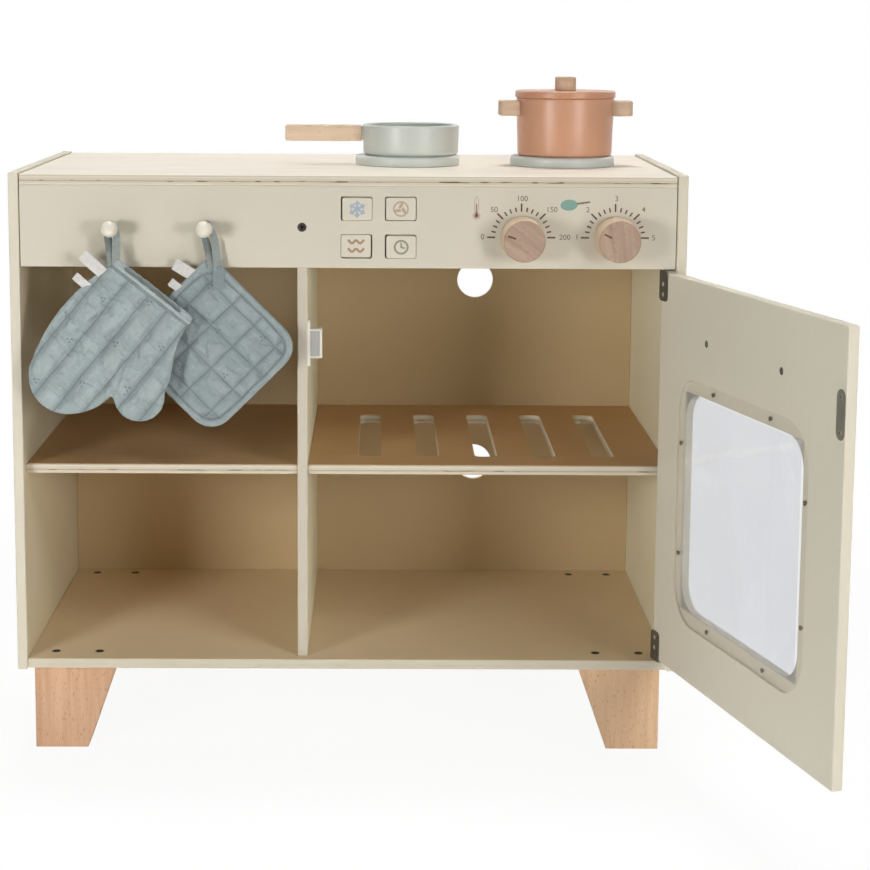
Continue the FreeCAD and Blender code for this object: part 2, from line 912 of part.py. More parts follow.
def make_carcass_screws():
    """Fasten the boards through the sides, the fascia to the divider, and the back panel."""
    side_rows = (
        (worktop_under + panel_thickness / 2, (0.2, 0.8)),
        (leg_height + panel_thickness / 2, (0.2, 0.8)),
        (shelf_top - panel_thickness / 2, (0.3, 0.7)),
    )
    places = []
    for _side, sign in SIDES:
        inward = RIGHT * -sign
        for height, shares in side_rows:
            for share in shares:
                places.append((Vector(sign * half_width, cabinet_depth * share, height), inward))
        middle = (fascia_face + fascia_back) / 2
        places.append((Vector(sign * half_width, middle, control_height), inward))
    places.append((Vector(divider_x, fascia_face, control_height), BACK))
    pieces = ["side_panel_left", "side_panel_right", "worktop", "bottom_panel", "shelf_left"]
    pieces += ["oven_rack", "control_fascia", "divider_panel"]
    fasten("panel_screws", panel_screw, places, pieces)

    shelf_middle = shelf_top - panel_thickness / 2
    floor_middle = leg_height + panel_thickness / 2
    spots = [(divider_x, floor_top + share * (worktop_under - floor_top)) for share in (0.2, 0.6, 0.9)]
    for left, right in ((-inner_half, divider_left), (divider_right, inner_half)):
        for share in (0.3, 0.7):
            x = left + share * (right - left)
            spots += [(x, shelf_middle), (x, floor_middle)]
    places = [(Vector(x, cabinet_depth, z), FRONT) for x, z in spots]
    pieces = ["back_panel", "divider_panel", "shelf_left", "oven_rack", "bottom_panel"]
    fasten("back_screws", back_screw, places, pieces)


def vessel(radius, foot_radius, height, wall, floor, bottom_round, base):
    """Return a turned vessel with a slightly tapered wall and softened rim and foot."""
    profile = [
        (0, 0),
        (foot_radius, 0),
        (radius, height),
        (radius - wall, height),
        (foot_radius - wall, floor),
        (0, floor),
    ]
    rounds = [
        (foot_radius, 0, bottom_round),
        (radius, height, rim_round),
        (radius - wall, height, rim_round),
        (foot_radius - wall, floor, bottom_round),
    ]
    return turned(profile, base, UP, rounds)


def make_pan():
    """Make the pan and its straight handle, which points left."""
    base = Vector(hob_left_x + pan_offset, hob_y, hob_top)
    body = vessel(pan_radius, pan_foot_radius, pan_height, pan_wall, pan_floor, pan_bottom_round, base)
    end = base.x - pan_radius - glue_gap
    top = hob_top + pan_height - pan_handle_drop
    middle = top - pan_handle_height / 2
    bar = block(
        end - pan_handle_length,
        end,
        hob_y - pan_handle_width / 2,
        hob_y + pan_handle_width / 2,
        top - pan_handle_height,
        top,
    )
    outer_edges = [edge for edge in bar.Edges if edge.BoundBox.XMin < end - pan_handle_length / 2]
    bar = bar.makeFillet(wood_edge, outer_edges)
    dowel = rod(dowel_radius, Vector(end, hob_y, middle), RIGHT, dowel_length)
    hole = rod(
        dowel_radius + running_clearance, Vector(end, hob_y, middle), RIGHT, dowel_length + glue_gap
    )
    put("pan_body", body.cut(hole))
    put("pan_handle", bar.fuse(dowel).removeSplitter())


def make_pot():
    """Make the pot, its two block handles, its lid and the lid's knob."""
    base = Vector(hob_right_x + pot_offset, hob_y, hob_top)
    body = vessel(pot_radius, pot_foot_radius, pot_height, pot_wall, pot_floor, pot_bottom_round, base)
    high = hob_top + pot_height - pot_handle_drop
    low = high - pot_handle_height
    middle = (high + low) / 2
    outside = Part.makeCone(pot_foot_radius + glue_gap, pot_radius + glue_gap, pot_height, base, UP)
    wall_here = pot_radius - (pot_radius - pot_foot_radius) * (pot_height - middle + hob_top) / pot_height
    handles = []
    for _side, sign in SIDES:
        reach = base.x + sign * (pot_radius + pot_handle_reach)
        grip = block(
            min(base.x, reach),
            max(base.x, reach),
            hob_y - pot_handle_width / 2,
            hob_y + pot_handle_width / 2,
            low,
            high,
        )
        corners = [
            edge for edge in grip.Edges if lies_along(edge, UP) and abs(edge.CenterOfMass.x - reach) < 1
        ]
        grip = grip.makeFillet(pot_handle_corner, corners).cut(outside)
        rims = [
            edge
            for edge in grip.Edges
            if edge.BoundBox.ZLength < 1e-3 and abs(edge.CenterOfMass.x - base.x) > pot_radius + edge_round
        ]
        grip = grip.makeFillet(edge_round, rims)
        start = Vector(base.x + sign * (wall_here + pot_handle_reach / 2), hob_y, middle)
        length = pot_handle_reach / 2 + dowel_length
        grip = grip.fuse(rod(dowel_radius, start, RIGHT * -sign, length)).removeSplitter()
        handles.append(grip)
        body = body.cut(rod(dowel_radius + running_clearance, start, RIGHT * -sign, length + glue_gap))
    put("pot_body", body)
    put("pot_handles", *handles)

    spigot = pot_radius - pot_wall - lid_spigot_play
    lid_base = base + UP * pot_height
    socket = dowel_radius + running_clearance
    socket_floor = lid_thickness - dowel_length - glue_gap
    profile = [
        (0, -lid_spigot_depth),
        (spigot, -lid_spigot_depth),
        (spigot, 0),
        (lid_radius, 0),
        (lid_radius, lid_thickness),
        (socket, lid_thickness),
        (socket, socket_floor),
        (0, socket_floor),
    ]
    rounds = [(lid_radius, lid_thickness, lid_edge), (lid_radius, 0, rim_round)]
    put("pot_lid", turned(profile, lid_base, UP, rounds))
    knob_profile = [
        (0, -dowel_length),
        (dowel_radius, -dowel_length),
        (dowel_radius, 0),
        (lid_knob_radius, 0),
        (lid_knob_radius, lid_knob_height),
        (0, lid_knob_height),
    ]
    knob_rounds = [(lid_knob_radius, lid_knob_height, lid_knob_edge)]
    put("lid_knob", turned(knob_profile, lid_base + UP * lid_thickness, UP, knob_rounds))


def quilted_slab(centre, angle, pitch, count, ridge, valley, length):
    """Return a padded slab in the x-z plane whose two faces swell between parallel channels."""
    start = -count * pitch / 2
    edges = []
    for sign, order in ((1, range(count)), (-1, reversed(range(count)))):
        for index in order:
            left = start + index * pitch
            swell = Vector(left + pitch / 2, sign * ridge, 0)
            seam_a = Vector(left, sign * valley, 0)
            seam_b = Vector(left + pitch, sign * valley, 0)
            first, last = (seam_a, seam_b) if sign > 0 else (seam_b, seam_a)
            edges.append(Part.Arc(first, swell, last).toShape())
        end = start + count * pitch if sign > 0 else start
        edges.append(Part.makeLine(Vector(end, sign * valley, 0), Vector(end, -sign * valley, 0)))
    slab = Part.Face(Part.Wire(edges)).extrude(UP * length)
    slab.translate(DOWN * (length / 2))
    slab.rotate(Vector(), BACK, angle)
    slab.translate(centre)
    return slab


def crown(centre, half_thickness, radius):
    """Return a lens between two large spheres, which gives a pad its crown."""
    lift = BACK * (radius - half_thickness)
    return Part.makeSphere(radius, centre + lift).common(Part.makeSphere(radius, centre - lift))


def hanging_loop(peg_x, length, lean, y_front):
    """Return a tape loop round a peg's neck, drawn together towards the pad that hangs from it."""
    inner_top = peg_neck_radius + loop_play
    wraps = []
    for top, bottom in (
        (inner_top + loop_thickness, loop_tail_radius),
        (inner_top, loop_tail_radius - loop_thickness),
    ):
        tangent = math.asin((top - bottom) / length)
        side = Vector(math.cos(tangent), 0, -math.sin(tangent))
        mirror = Vector(-side.x, 0, side.z)
        tail = DOWN * length
        edges = [
            Part.Arc(mirror * top, UP * top, side * top).toShape(),
            Part.makeLine(side * top, tail + side * bottom),
            Part.Arc(tail + side * bottom, tail + DOWN * bottom, tail + mirror * bottom).toShape(),
            Part.makeLine(tail + mirror * bottom, mirror * top),
        ]
        wraps.append(Part.Face(Part.Wire(edges)).extrude(BACK * loop_width))
    loop = wraps[0].cut(wraps[1])
    loop.rotate(Vector(), FRONT, lean)
    loop.translate(Vector(peg_x, y_front, control_height))
    return loop


def make_mitt():
    """Make the oven mitt: a quilted, crowned pad with a thumb and an open cuff, and its loop."""
    tilt = math.radians(mitt_tilt)
    middle = mitt_cuff_width / 2

    def at(along, down, level=0.0):
        x = mitt_cuff_x + along * math.cos(tilt) - down * math.sin(tilt)
        z = mitt_cuff_height - along * math.sin(tilt) - down * math.cos(tilt)
        return Vector(x, mitt_y + level, z)

    thumb_side = mitt_cuff_width + mitt_thumb_reach
    thumb_tip = (mitt_cuff_width * 0.5 + thumb_side * 0.46, mitt_thumb_length)
    hand_side = -mitt_hand_bulge
    corner = (0, 0)
    cuff_end = (mitt_cuff_width, 0)
    thumb_root = (thumb_side, mitt_thumb_length * 0.63)
    notch = (mitt_notch_along, mitt_notch_depth)
    finger_side = (mitt_notch_along * 0.8, mitt_hand_length * 0.9)
    finger_tips = (mitt_cuff_width * 0.3, mitt_hand_length)
    little_finger = (hand_side * 0.5, mitt_hand_length * 0.8)
    stretches = (
        (corner, cuff_end),
        (cuff_end, (thumb_side * 0.95, mitt_thumb_length * 0.31), thumb_root),
        (thumb_root, thumb_tip, notch),
        (notch, (mitt_notch_along * 0.94, mitt_hand_length * 0.8), finger_side),
        (finger_side, finger_tips, little_finger),
        (little_finger, (hand_side, mitt_hand_length * 0.42), corner),
    )

    def section(inset, level):
        edges = []
        for stretch in stretches:
            points = [
                at(middle + (along - middle) * (1 - inset), down * (1 - inset / 2), level)
                for along, down in stretch
            ]
            edge = Part.Arc(*points).toShape() if len(points) == 3 else Part.makeLine(*points)
            edges.append(edge)
        return Part.Wire(edges)

    levels = ((-1, 1), (-mitt_shoulder, mitt_shoulder_inset), (0, 0))
    levels += tuple((-level, inset) for level, inset in levels[1::-1])
    sections = [section(inset * mitt_side_inset, level * mitt_ridge) for level, inset in levels]
    outline = Part.makeLoft(sections, True, True)
    centre = at(middle, mitt_hand_length / 2)
    count = math.ceil(2 * mitt_hand_length / mitt_channel_pitch)
    slab = quilted_slab(
        centre,
        mitt_channel_angle,
        mitt_channel_pitch,
        count,
        mitt_ridge,
        mitt_valley,
        3 * mitt_hand_length,
    )
    pad = outline.common(slab).common(crown(centre, mitt_ridge, mitt_crown_radius))

    far = mitt_cuff_width - mitt_pocket_margin
    round_start = mitt_pocket_depth * 0.8
    past = -mitt_pocket_margin
    tongue = [
        Part.makeLine(at(mitt_pocket_margin, past), at(far, past)),
        Part.makeLine(at(far, past), at(far - mitt_pocket_margin, round_start)),
        Part.Arc(
            at(far - mitt_pocket_margin, round_start),
            at(mitt_cuff_width * 0.4, mitt_pocket_depth),
            at(mitt_pocket_margin / 2, round_start),
        ).toShape(),
        Part.makeLine(at(mitt_pocket_margin / 2, round_start), at(mitt_pocket_margin, past)),
    ]
    pocket = Part.Face(Part.Wire(tongue)).extrude(BACK * mitt_pocket_thickness)
    pocket.translate(FRONT * (mitt_pocket_thickness / 2))
    put("mitt", pad.cut(pocket))
    loop_front = fascia_face - loop_from_face - loop_width
    put("mitt_loop", hanging_loop(peg_left_x, mitt_loop_length, mitt_loop_lean, loop_front))


def make_pot_holder():
    """Make the square pot holder, hung by a corner, with crossing channels, and its loop."""
    half = holder_side / 2
    pad = block(-half, half, -holder_ridge, holder_ridge, -half, half)
    uprights = [edge for edge in pad.Edges if lies_along(edge, BACK)]
    top_corner = [edge for edge in uprights if edge.CenterOfMass.x > 0 and edge.CenterOfMass.z > 0]
    pad = pad.makeFillet(holder_top_corner, top_corner)
    others = [
        edge
        for edge in pad.Edges
        if lies_along(edge, BACK) and min(edge.CenterOfMass.x, edge.CenterOfMass.z) < -half + 1e-3
    ]
    pad = pad.makeFillet(holder_corner, others)
    rims = [edge for edge in pad.Edges if edge.BoundBox.YLength < 1e-3]
    pad = pad.makeFillet(holder_edge_round, rims)
    count = 2 * math.ceil(holder_side / holder_channel_pitch / 2) + 1
    for angle in (0, 90):
        slab = quilted_slab(
            Vector(),
            angle,
            holder_channel_pitch,
            count,
            holder_ridge,
            holder_valley,
            2 * holder_side,
        )
        pad = pad.common(slab)
    pad.rotate(Vector(), FRONT, 45)
    pad.translate(Vector(holder_x, holder_y, holder_height))
    put("pot_holder", pad)
    loop_front = fascia_face - holder_loop_from_face - loop_width
    loop = hanging_loop(peg_right_x, holder_loop_length, holder_loop_lean, loop_front)
    put("pot_holder_loop", loop)


def hand_in():
    """Move the origin to the middle of the floor area and write one file per node."""
    whole = Part.makeCompound(list(parts.values())).optimalBoundingBox(False, False)
    shift = Vector(-(whole.XMin + whole.XMax) / 2, -(whole.YMin + whole.YMax) / 2, -whole.ZMin)
    print("shift", [round(value, 4) for value in shift])
    print("box", [round(value, 3) for value in (whole.XLength, whole.YLength, whole.ZLength)])
    os.makedirs("parts", exist_ok=True)
    for name, shape in parts.items():
        shape.translate(shift)
        shape.exportStep(f"parts/{name}.step")
        print(name, len(shape.Solids), round(shape.Volume, 1), shape.isValid())


make_carcass()
make_legs()
make_hob()
make_pegs()
make_buttons()
make_knobs()
make_catch()
make_door_panel()
make_strike()
make_hinges()
make_door_handle()
turn_door_open()
make_carcass_screws()
make_pan()
make_pot()
make_mitt()
make_pot_holder()
hand_in()
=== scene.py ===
"""The look of a wooden toy kitchen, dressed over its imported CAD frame.

Sizes in the classes are cabinet millimetres: x to the right, y to the back and z up, from the
middle of the cabinet's front at floor level. at() turns such a place into the frame's metres.
"""

import logging
import math
from dataclasses import dataclass, field
from enum import Enum
from typing import Callable, Iterable, Optional, Sequence, Union

import bmesh
import bpy
from mathutils import Matrix, Vector, noise


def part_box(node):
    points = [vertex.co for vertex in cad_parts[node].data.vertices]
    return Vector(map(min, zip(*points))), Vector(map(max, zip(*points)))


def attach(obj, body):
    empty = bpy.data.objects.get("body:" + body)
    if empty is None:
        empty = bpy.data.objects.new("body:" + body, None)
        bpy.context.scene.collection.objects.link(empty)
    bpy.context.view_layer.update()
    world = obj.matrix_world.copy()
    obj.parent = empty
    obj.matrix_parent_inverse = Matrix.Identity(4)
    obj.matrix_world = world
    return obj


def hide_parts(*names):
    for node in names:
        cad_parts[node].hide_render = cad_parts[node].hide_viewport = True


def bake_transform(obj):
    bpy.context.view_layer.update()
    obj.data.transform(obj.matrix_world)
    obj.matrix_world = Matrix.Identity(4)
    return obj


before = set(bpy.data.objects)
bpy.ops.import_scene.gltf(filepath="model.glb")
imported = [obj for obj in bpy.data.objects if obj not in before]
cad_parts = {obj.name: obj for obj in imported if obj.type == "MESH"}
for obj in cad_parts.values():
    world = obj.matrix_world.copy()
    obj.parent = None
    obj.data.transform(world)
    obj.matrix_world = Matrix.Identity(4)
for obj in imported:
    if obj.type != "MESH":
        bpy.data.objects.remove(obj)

LOG = logging.getLogger("toy_kitchen")
MM = 0.001
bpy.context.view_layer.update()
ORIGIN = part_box("side_panel_left")[0] - Vector((-300.0, 0.0, 76.0)) * MM

Colour = tuple[float, float, float, float]
Place = tuple[float, float, float]
Profile = list[tuple[float, float]]
Input = Union["Signal", float, Sequence[float]]
Piece = bpy.types.Object


def at(x: float, y: float, z: float) -> Vector:
    """Return a cabinet place, in millimetres, as a point of the frame in metres."""
    return ORIGIN + Vector((x, y, z)) * MM


def tint(red: int, green: int, blue: int) -> Colour:
    """Return a colour read off a screen, 0 to 255, as the linear colour that shaders take."""
    parts = [c / 255 for c in (red, green, blue)]
    linear = [c / 12.92 if c <= 0.04045 else ((c + 0.055) / 1.055) ** 2.4 for c in parts]
    return (linear[0], linear[1], linear[2], 1.0)


DOOR_PIVOT = at(284.5, 5.0, 0.0)
DOOR_ANGLE = math.radians(106.0)
HALF_WIDTH = 300.0
CONTROL_HEIGHT = 481.7
WORKTOP_MIDDLE = 523.0
SHELF_MIDDLE = 260.0
FLOOR_MIDDLE = 81.5
DIVIDER_X = -41.0
FASCIA_MIDDLE = 5.5
BACK_FACE = 300.0
SEAM_X = 290.5
WINDOW_CENTRE = (129.7, 247.5)
KEY_SHIFT = {1: (0.48, -0.48), 2: (0.1, -0.1), 3: (-0.48, 0.4), 4: (0.48, -0.48)}


class Axis(Enum):
    """The direction that a grain runs in or that a board is thin in."""

    X = 0
    Y = 1
    Z = 2


# Shader maths


class Signal:
    """A shader socket that takes part in Python arithmetic."""

    def __init__(self, recipe: "Recipe", socket: bpy.types.NodeSocket) -> None:
        """Keep a socket and the recipe that it belongs to."""
        self.recipe = recipe
        self.socket = socket

    def math(self, operation: str, *others: Input) -> "Signal":
        """Return this signal and the others put through one Math node."""
        values = dict(enumerate((self, *others)))
        return self.recipe.node("ShaderNodeMath", {"operation": operation}, values)

    def __add__(self, other: Input) -> "Signal":
        """Return the sum."""
        return self.math("ADD", other)

    def __sub__(self, other: Input) -> "Signal":
        """Return the difference."""
        return self.math("SUBTRACT", other)

    def __mul__(self, other: Input) -> "Signal":
        """Return the product."""
        return self.math("MULTIPLY", other)

    def __truediv__(self, other: Input) -> "Signal":
        """Return the quotient."""
        return self.math("DIVIDE", other)

    def __rsub__(self, other: float) -> "Signal":
        """Return a number less this signal."""
        return self * -1.0 + other

    __radd__ = __add__
    __rmul__ = __mul__

    def __abs__(self) -> "Signal":
        """Return the size without its sign."""
        return self.math("ABSOLUTE")

    def __lt__(self, other: Input) -> "Signal":
        """Return 1 where this signal is below the other."""
        return self.math("LESS_THAN", other)

    def __gt__(self, other: Input) -> "Signal":
        """Return 1 where this signal is above the other."""
        return self.math("GREATER_THAN", other)

    def wave(self, pitch: float) -> "Signal":
        """Return a wave between 0 and 1 that repeats every pitch."""
        return (self * (2 * math.pi / pitch)).math("SINE") * 0.5 + 0.5

    def cell(self, pitch: float, shift: float = 0.0) -> "Signal":
        """Return the distance from the nearest of the lines that stand a pitch apart."""
        return abs((self / pitch + (0.5 - shift)).math("FRACT") - 0.5) * pitch

    def rise(self, low: float, high: float) -> "Signal":
        """Return a smooth step from 0 at low to 1 at high."""
        return self.recipe.node(
            "ShaderNodeMapRange",
            {"interpolation_type": "SMOOTHSTEP"},
            {"Value": self, "From Min": low, "From Max": high},
        )

    def fall(self, low: float, high: float) -> "Signal":
        """Return a smooth step from 1 at low to 0 at high."""
        return 1.0 - self.rise(low, high)


class Recipe:
    """A material in the making: a node tree and the one way to add nodes to it."""

    def __init__(self, name: str) -> None:
        """Start an empty material."""
        self.material = bpy.data.materials.new(name)
        self.material.use_nodes = True
        self.tree = self.material.node_tree
        self.tree.nodes.clear()

    def node(
        self,
        kind: str,
        settings: Optional[dict] = None,
        inputs: Optional[dict] = None,
        output: Union[int, str] = 0,
    ) -> Signal:
        """Add a node.

        Args:
            kind: the node's type name.
            settings: attributes that are set first; "stops" fills a colour ramp.
            inputs: values or signals by socket name or number.
            output: the output socket that is handed back.

        Returns:
            The chosen output as a signal.
        """
        made = self.tree.nodes.new(kind)
        for key, value in (settings or {}).items():
            if key == "stops":
                ramp = made.color_ramp.elements
                while len(ramp) < len(value):
                    ramp.new(1.0)
                for stop, (position, colour) in zip(ramp, value):
                    stop.position, stop.color = position, colour
            else:
                setattr(made, key, value)
        for key, value in (inputs or {}).items():
            if isinstance(value, Signal):
                self.tree.links.new(value.socket, made.inputs[key])
            else:
                made.inputs[key].default_value = value
        return Signal(self, made.outputs[output])

    def place(self, centre: Vector = Vector(), turn: Place = (0, 0, 0)) -> Signal:
        """Return Object coordinates about a centre, in axes turned by Euler angles."""
        spot = self.node("ShaderNodeTexCoord", output="Object")
        settings = {"vector_type": "TEXTURE"}
        return self.node(
            "ShaderNodeMapping", settings, {"Vector": spot, "Location": centre, "Rotation": turn}
        )

    def axes(self, vector: Signal) -> list[Signal]:
        """Return the three components of a vector."""
        first = self.node("ShaderNodeSeparateXYZ", inputs={0: vector})
        outputs = first.socket.node.outputs
        return [Signal(self, outputs[i]) for i in range(3)]

    def stretch(self, vector: Signal, scale: Sequence[float]) -> Signal:
        """Return a vector with its components scaled."""
        return self.node("ShaderNodeVectorMath", {"operation": "MULTIPLY"}, {0: vector, 1: scale})

    def noise(self, vector: Signal, scale: float, detail: float = 2.0, rough: float = 0.5) -> Signal:
        """Return a noise between 0 and 1."""
        inputs = {"Vector": vector, "Scale": scale, "Detail": detail, "Roughness": rough}
        return self.node("ShaderNodeTexNoise", inputs=inputs)

    def mix(self, share: Input, first: Input, second: Input, blend: str = "MIX") -> Signal:
        """Return two colours mixed by a share of the second."""
        settings = {"data_type": "RGBA", "blend_type": blend}
        return self.node("ShaderNodeMix", settings, {0: share, 6: first, 7: second}, output=2)

    def bump(self, height: Signal, distance: float, strength: float = 1.0) -> Signal:
        """Return the normal of a height that is 1 at a distance in metres."""
        inputs = {"Height": height, "Distance": distance, "Strength": strength}
        return self.node("ShaderNodeBump", inputs=inputs)

    def surface(self, **inputs: Input) -> bpy.types.Material:
        """Close the material with a Principled shader and return it."""
        named = {key.replace("_", " "): value for key, value in inputs.items()}
        shader = self.node("ShaderNodeBsdfPrincipled", inputs=named)
        output = self.tree.nodes.new("ShaderNodeOutputMaterial")
        self.tree.links.new(shader.socket, output.inputs["Surface"])
        return self.material


# Finishes


@dataclass(frozen=True)
class PlyBoard:
    """Painted or clear-coated plywood, whose plies and small voids show on its cut edges."""

    name: str
    colour: Colour
    thin: Axis
    middle: Vector
    grain: Axis
    half: float = 4.5
    turn: float = 0.0
    ply_show: float = 0.5
    voids: float = 0.5
    figure: float = 0.03
    joints: tuple[float, ...] = ()
    gloss: float = 0.25
    # inner: the colour that the inner faces take, as painted light
    inner: Optional[Colour] = None
    inner_way: int = 0
    edge_colour: Colour = tint(220, 212, 192)
    ply_colour: Colour = tint(160, 134, 104)
    void_colour: Colour = tint(84, 62, 40)
    figure_colour: Colour = tint(196, 176, 150)

    def make(self) -> bpy.types.Material:
        """Return the material."""
        recipe = Recipe(self.name)
        spot = recipe.place(self.middle, (0.0, 0.0, self.turn))
        depth = abs(recipe.axes(spot)[self.thin.value])
        signed = recipe.axes(spot)[self.thin.value]
        edge = depth.fall((self.half - 0.9) * MM, (self.half - 0.35) * MM)
        scale = [1.0, 1.0, 1.0]
        scale[self.grain.value] = 0.045
        along = recipe.stretch(spot, scale)
        figure = recipe.noise(along, 210.0, 3.0, 0.6)
        streak = recipe.noise(along, 520.0, 1.0).rise(0.62, 0.74)
        broad = recipe.noise(spot, 5.0, 2.0)
        plies = abs(signed + 0.9 * MM).fall(0.35 * MM, 0.8 * MM) + signed.wave(3.0 * MM) * 0.35
        short = [60.0, 60.0, 60.0]
        short[self.thin.value] = 420.0
        hole = recipe.noise(recipe.stretch(spot, short), 1.0, 1.0).rise(0.57, 0.66)
        line = abs(signed + 0.9 * MM).fall(0.45 * MM, 0.8 * MM)
        face = recipe.mix(figure.rise(0.42, 0.72) * self.figure, self.colour, self.figure_colour)
        face = recipe.mix(streak * (self.figure * 0.8), face, self.figure_colour)
        face = recipe.mix((broad - 0.5) * 0.12 + 0.06, face, tint(255, 250, 240))
        # painted light: the inner faces take the inner colour, a copy of the paint lit for the light inside
        # the cabinet
        if self.inner is not None:
            way = signed * self.inner_way if self.inner_way else depth
            face = recipe.mix(way.rise((self.half - 0.3) * MM, (self.half - 0.1) * MM), face, self.inner)
        cut = recipe.mix(edge, face, self.edge_colour)
        cut = recipe.mix(edge * plies * self.ply_show, cut, self.ply_colour)
        cut = recipe.mix(edge * hole * line * self.voids, cut, self.void_colour)
        # a paler band on the cut edge, just short of each face
        fillet_band = depth.rise((self.half - 0.7) * MM, (self.half - 0.3) * MM)
        fillet_band = fillet_band * depth.fall((self.half - 0.05) * MM, self.half * MM)
        cut = recipe.mix(fillet_band * 0.18, cut, tint(250, 240, 222))
        arris = abs(signed - (self.half - 0.75) * MM).fall(0.1 * MM, 0.4 * MM) * edge
        cut = recipe.mix(arris * self.ply_show * 0.7, cut, self.ply_colour)
        # painted shade: a dark line at each of these x places stands for the shade in the gap where the board
        # meets a side panel
        for gap_x in self.joints:
            seam = abs(recipe.axes(spot)[0] - gap_x * MM).fall(0.35 * MM, 0.6 * MM)
            cut = recipe.mix(seam * 0.85, cut, self.void_colour)
        peel = recipe.noise(spot, 900.0, 2.0)
        height = figure * 0.5 + peel * 0.25 - edge * plies * (self.ply_show * 0.5)
        height = height - edge * hole * line * (self.voids * 1.6)
        return recipe.surface(
            Base_Color=cut,
            Roughness=0.44 + peel * 0.12 + edge * 0.15,
            Normal=recipe.bump(height, 0.12 * MM, 0.6),
            Specular_IOR_Level=self.gloss,
        )


@dataclass(frozen=True)
class Beech:
    """Bare oiled beech with a straight grain and short dark flecks."""

    name: str
    colour: Colour
    deep: Colour
    grain: Axis
    fleck: Colour = tint(140, 96, 66)
    fleck_show: float = 0.45
    middle: Vector = Vector()
    turn: Place = (0.0, 0.0, 0.0)
    mark_angle: Optional[float] = None
    face: float = 0.0
    # side: the paler colour painted on a knob's side, as painted light
    side: Colour = tint(214, 192, 162)

    def make(self) -> bpy.types.Material:
        """Return the material, with a knob's pointer line where it has an angle."""
        recipe = Recipe(self.name)
        spot = recipe.place(self.middle, self.turn)
        scale = [1.0, 1.0, 1.0]
        scale[self.grain.value] = 0.06
        along = recipe.stretch(spot, scale)
        figure = recipe.noise(along, 130.0, 4.0, 0.6)
        bands = recipe.noise(along, 38.0, 2.0)
        short = [1.0, 1.0, 1.0]
        short[self.grain.value] = 0.22
        fleck = recipe.noise(recipe.stretch(spot, short), 950.0, 1.0).rise(0.63, 0.72)
        colour = recipe.mix(figure.rise(0.35, 0.7), self.colour, self.deep)
        colour = recipe.mix(bands.rise(0.35, 0.75) * 0.45, colour, self.deep)
        colour = recipe.mix(fleck * self.fleck_show, colour, self.fleck)
        if self.mark_angle is not None:
            x, y, z = recipe.axes(recipe.place(self.middle))
            # painted light: a knob's side is paler than its face, standing for the lamps lighting the side
            colour = recipe.mix(y.rise(self.face * MM, (self.face + 1.2) * MM) * 0.8, colour, self.side)
            cosine, sine = math.cos(self.mark_angle), math.sin(self.mark_angle)
            run = z * sine - x * cosine
            aside = abs(x * sine + z * cosine)
            mark = (run > 8.0 * MM) * (run < 15.4 * MM) * aside.fall(0.6 * MM, 0.9 * MM)
            colour = recipe.mix(mark * 0.92, colour, tint(74, 48, 32))
        height = figure * 0.7 - fleck * 0.8
        return recipe.surface(
            Base_Color=colour,
            Roughness=0.5 + figure * 0.15,
            Normal=recipe.bump(height, 0.1 * MM, 0.5),
            Specular_IOR_Level=0.3,
        )


@dataclass(frozen=True)
class TurnedPaint:
    """Satin paint on turned wood, with a faint grain and rubbed patches."""

    name: str
    colour: Colour
    light: Colour
    roughness: float = 0.3

    def make(self) -> bpy.types.Material:
        """Return the material."""
        recipe = Recipe(self.name)
        spot = recipe.place()
        cloud = recipe.noise(spot, 22.0, 3.0)
        grain = recipe.noise(recipe.stretch(spot, (0.05, 1.0, 1.0)), 420.0, 3.0, 0.6)
        peel = recipe.noise(spot, 1400.0, 2.0)
        colour = recipe.mix(cloud.rise(0.35, 0.7) * 0.35 + grain * 0.12, self.colour, self.light)
        return recipe.surface(
            Base_Color=colour,
            Roughness=self.roughness + cloud * 0.06 + peel * 0.05,
            Normal=recipe.bump(grain * 0.7 + peel * 0.3, 0.04 * MM, 0.4),
            Specular_IOR_Level=0.5,
        )


@dataclass(frozen=True)
class ClearPane:
    """A clear acrylic window with fine rubbed scratches."""

    name: str
    centre: tuple[float, float]
    opening: tuple[float, float]

    def make(self) -> bpy.types.Material:
        """Return the material."""
        recipe = Recipe(self.name)
        spot = recipe.place(DOOR_PIVOT, (0.0, 0.0, DOOR_ANGLE))
        x, _, z = recipe.axes(spot)
        middle = at(self.centre[0], 0, self.centre[1]) - DOOR_PIVOT
        half_x, half_z = self.opening[0] / 2 * MM, self.opening[1] / 2 * MM
        inside = (abs(x - middle.x) < half_x) * (abs(z - middle.z) < half_z)
        haze = recipe.noise(spot, 14.0, 3.0)
        scratch = recipe.noise(recipe.stretch(spot, (1.0, 1.0, 0.04)), 900.0, 1.0).rise(0.7, 0.78)
        # painted reflection: the gleam is a pale, more opaque diagonal streak across the clear opening
        low = at(235, 0, 282) - DOOR_PIVOT
        gleam = abs(z - low.z + (x - low.x) * 0.289).fall(2.0 * MM, 7.0 * MM) * inside
        clear = recipe.mix(haze, tint(114, 132, 160), tint(128, 145, 172))
        return recipe.surface(
            Base_Color=recipe.mix(gleam, clear, tint(226, 230, 236)),
            Roughness=0.05 + scratch * 0.2 + haze * 0.04,
            Alpha=0.012 + inside * (0.168 + haze * 0.04 + scratch * 0.04) + gleam * 0.1,
            Specular_IOR_Level=0.5,
        )


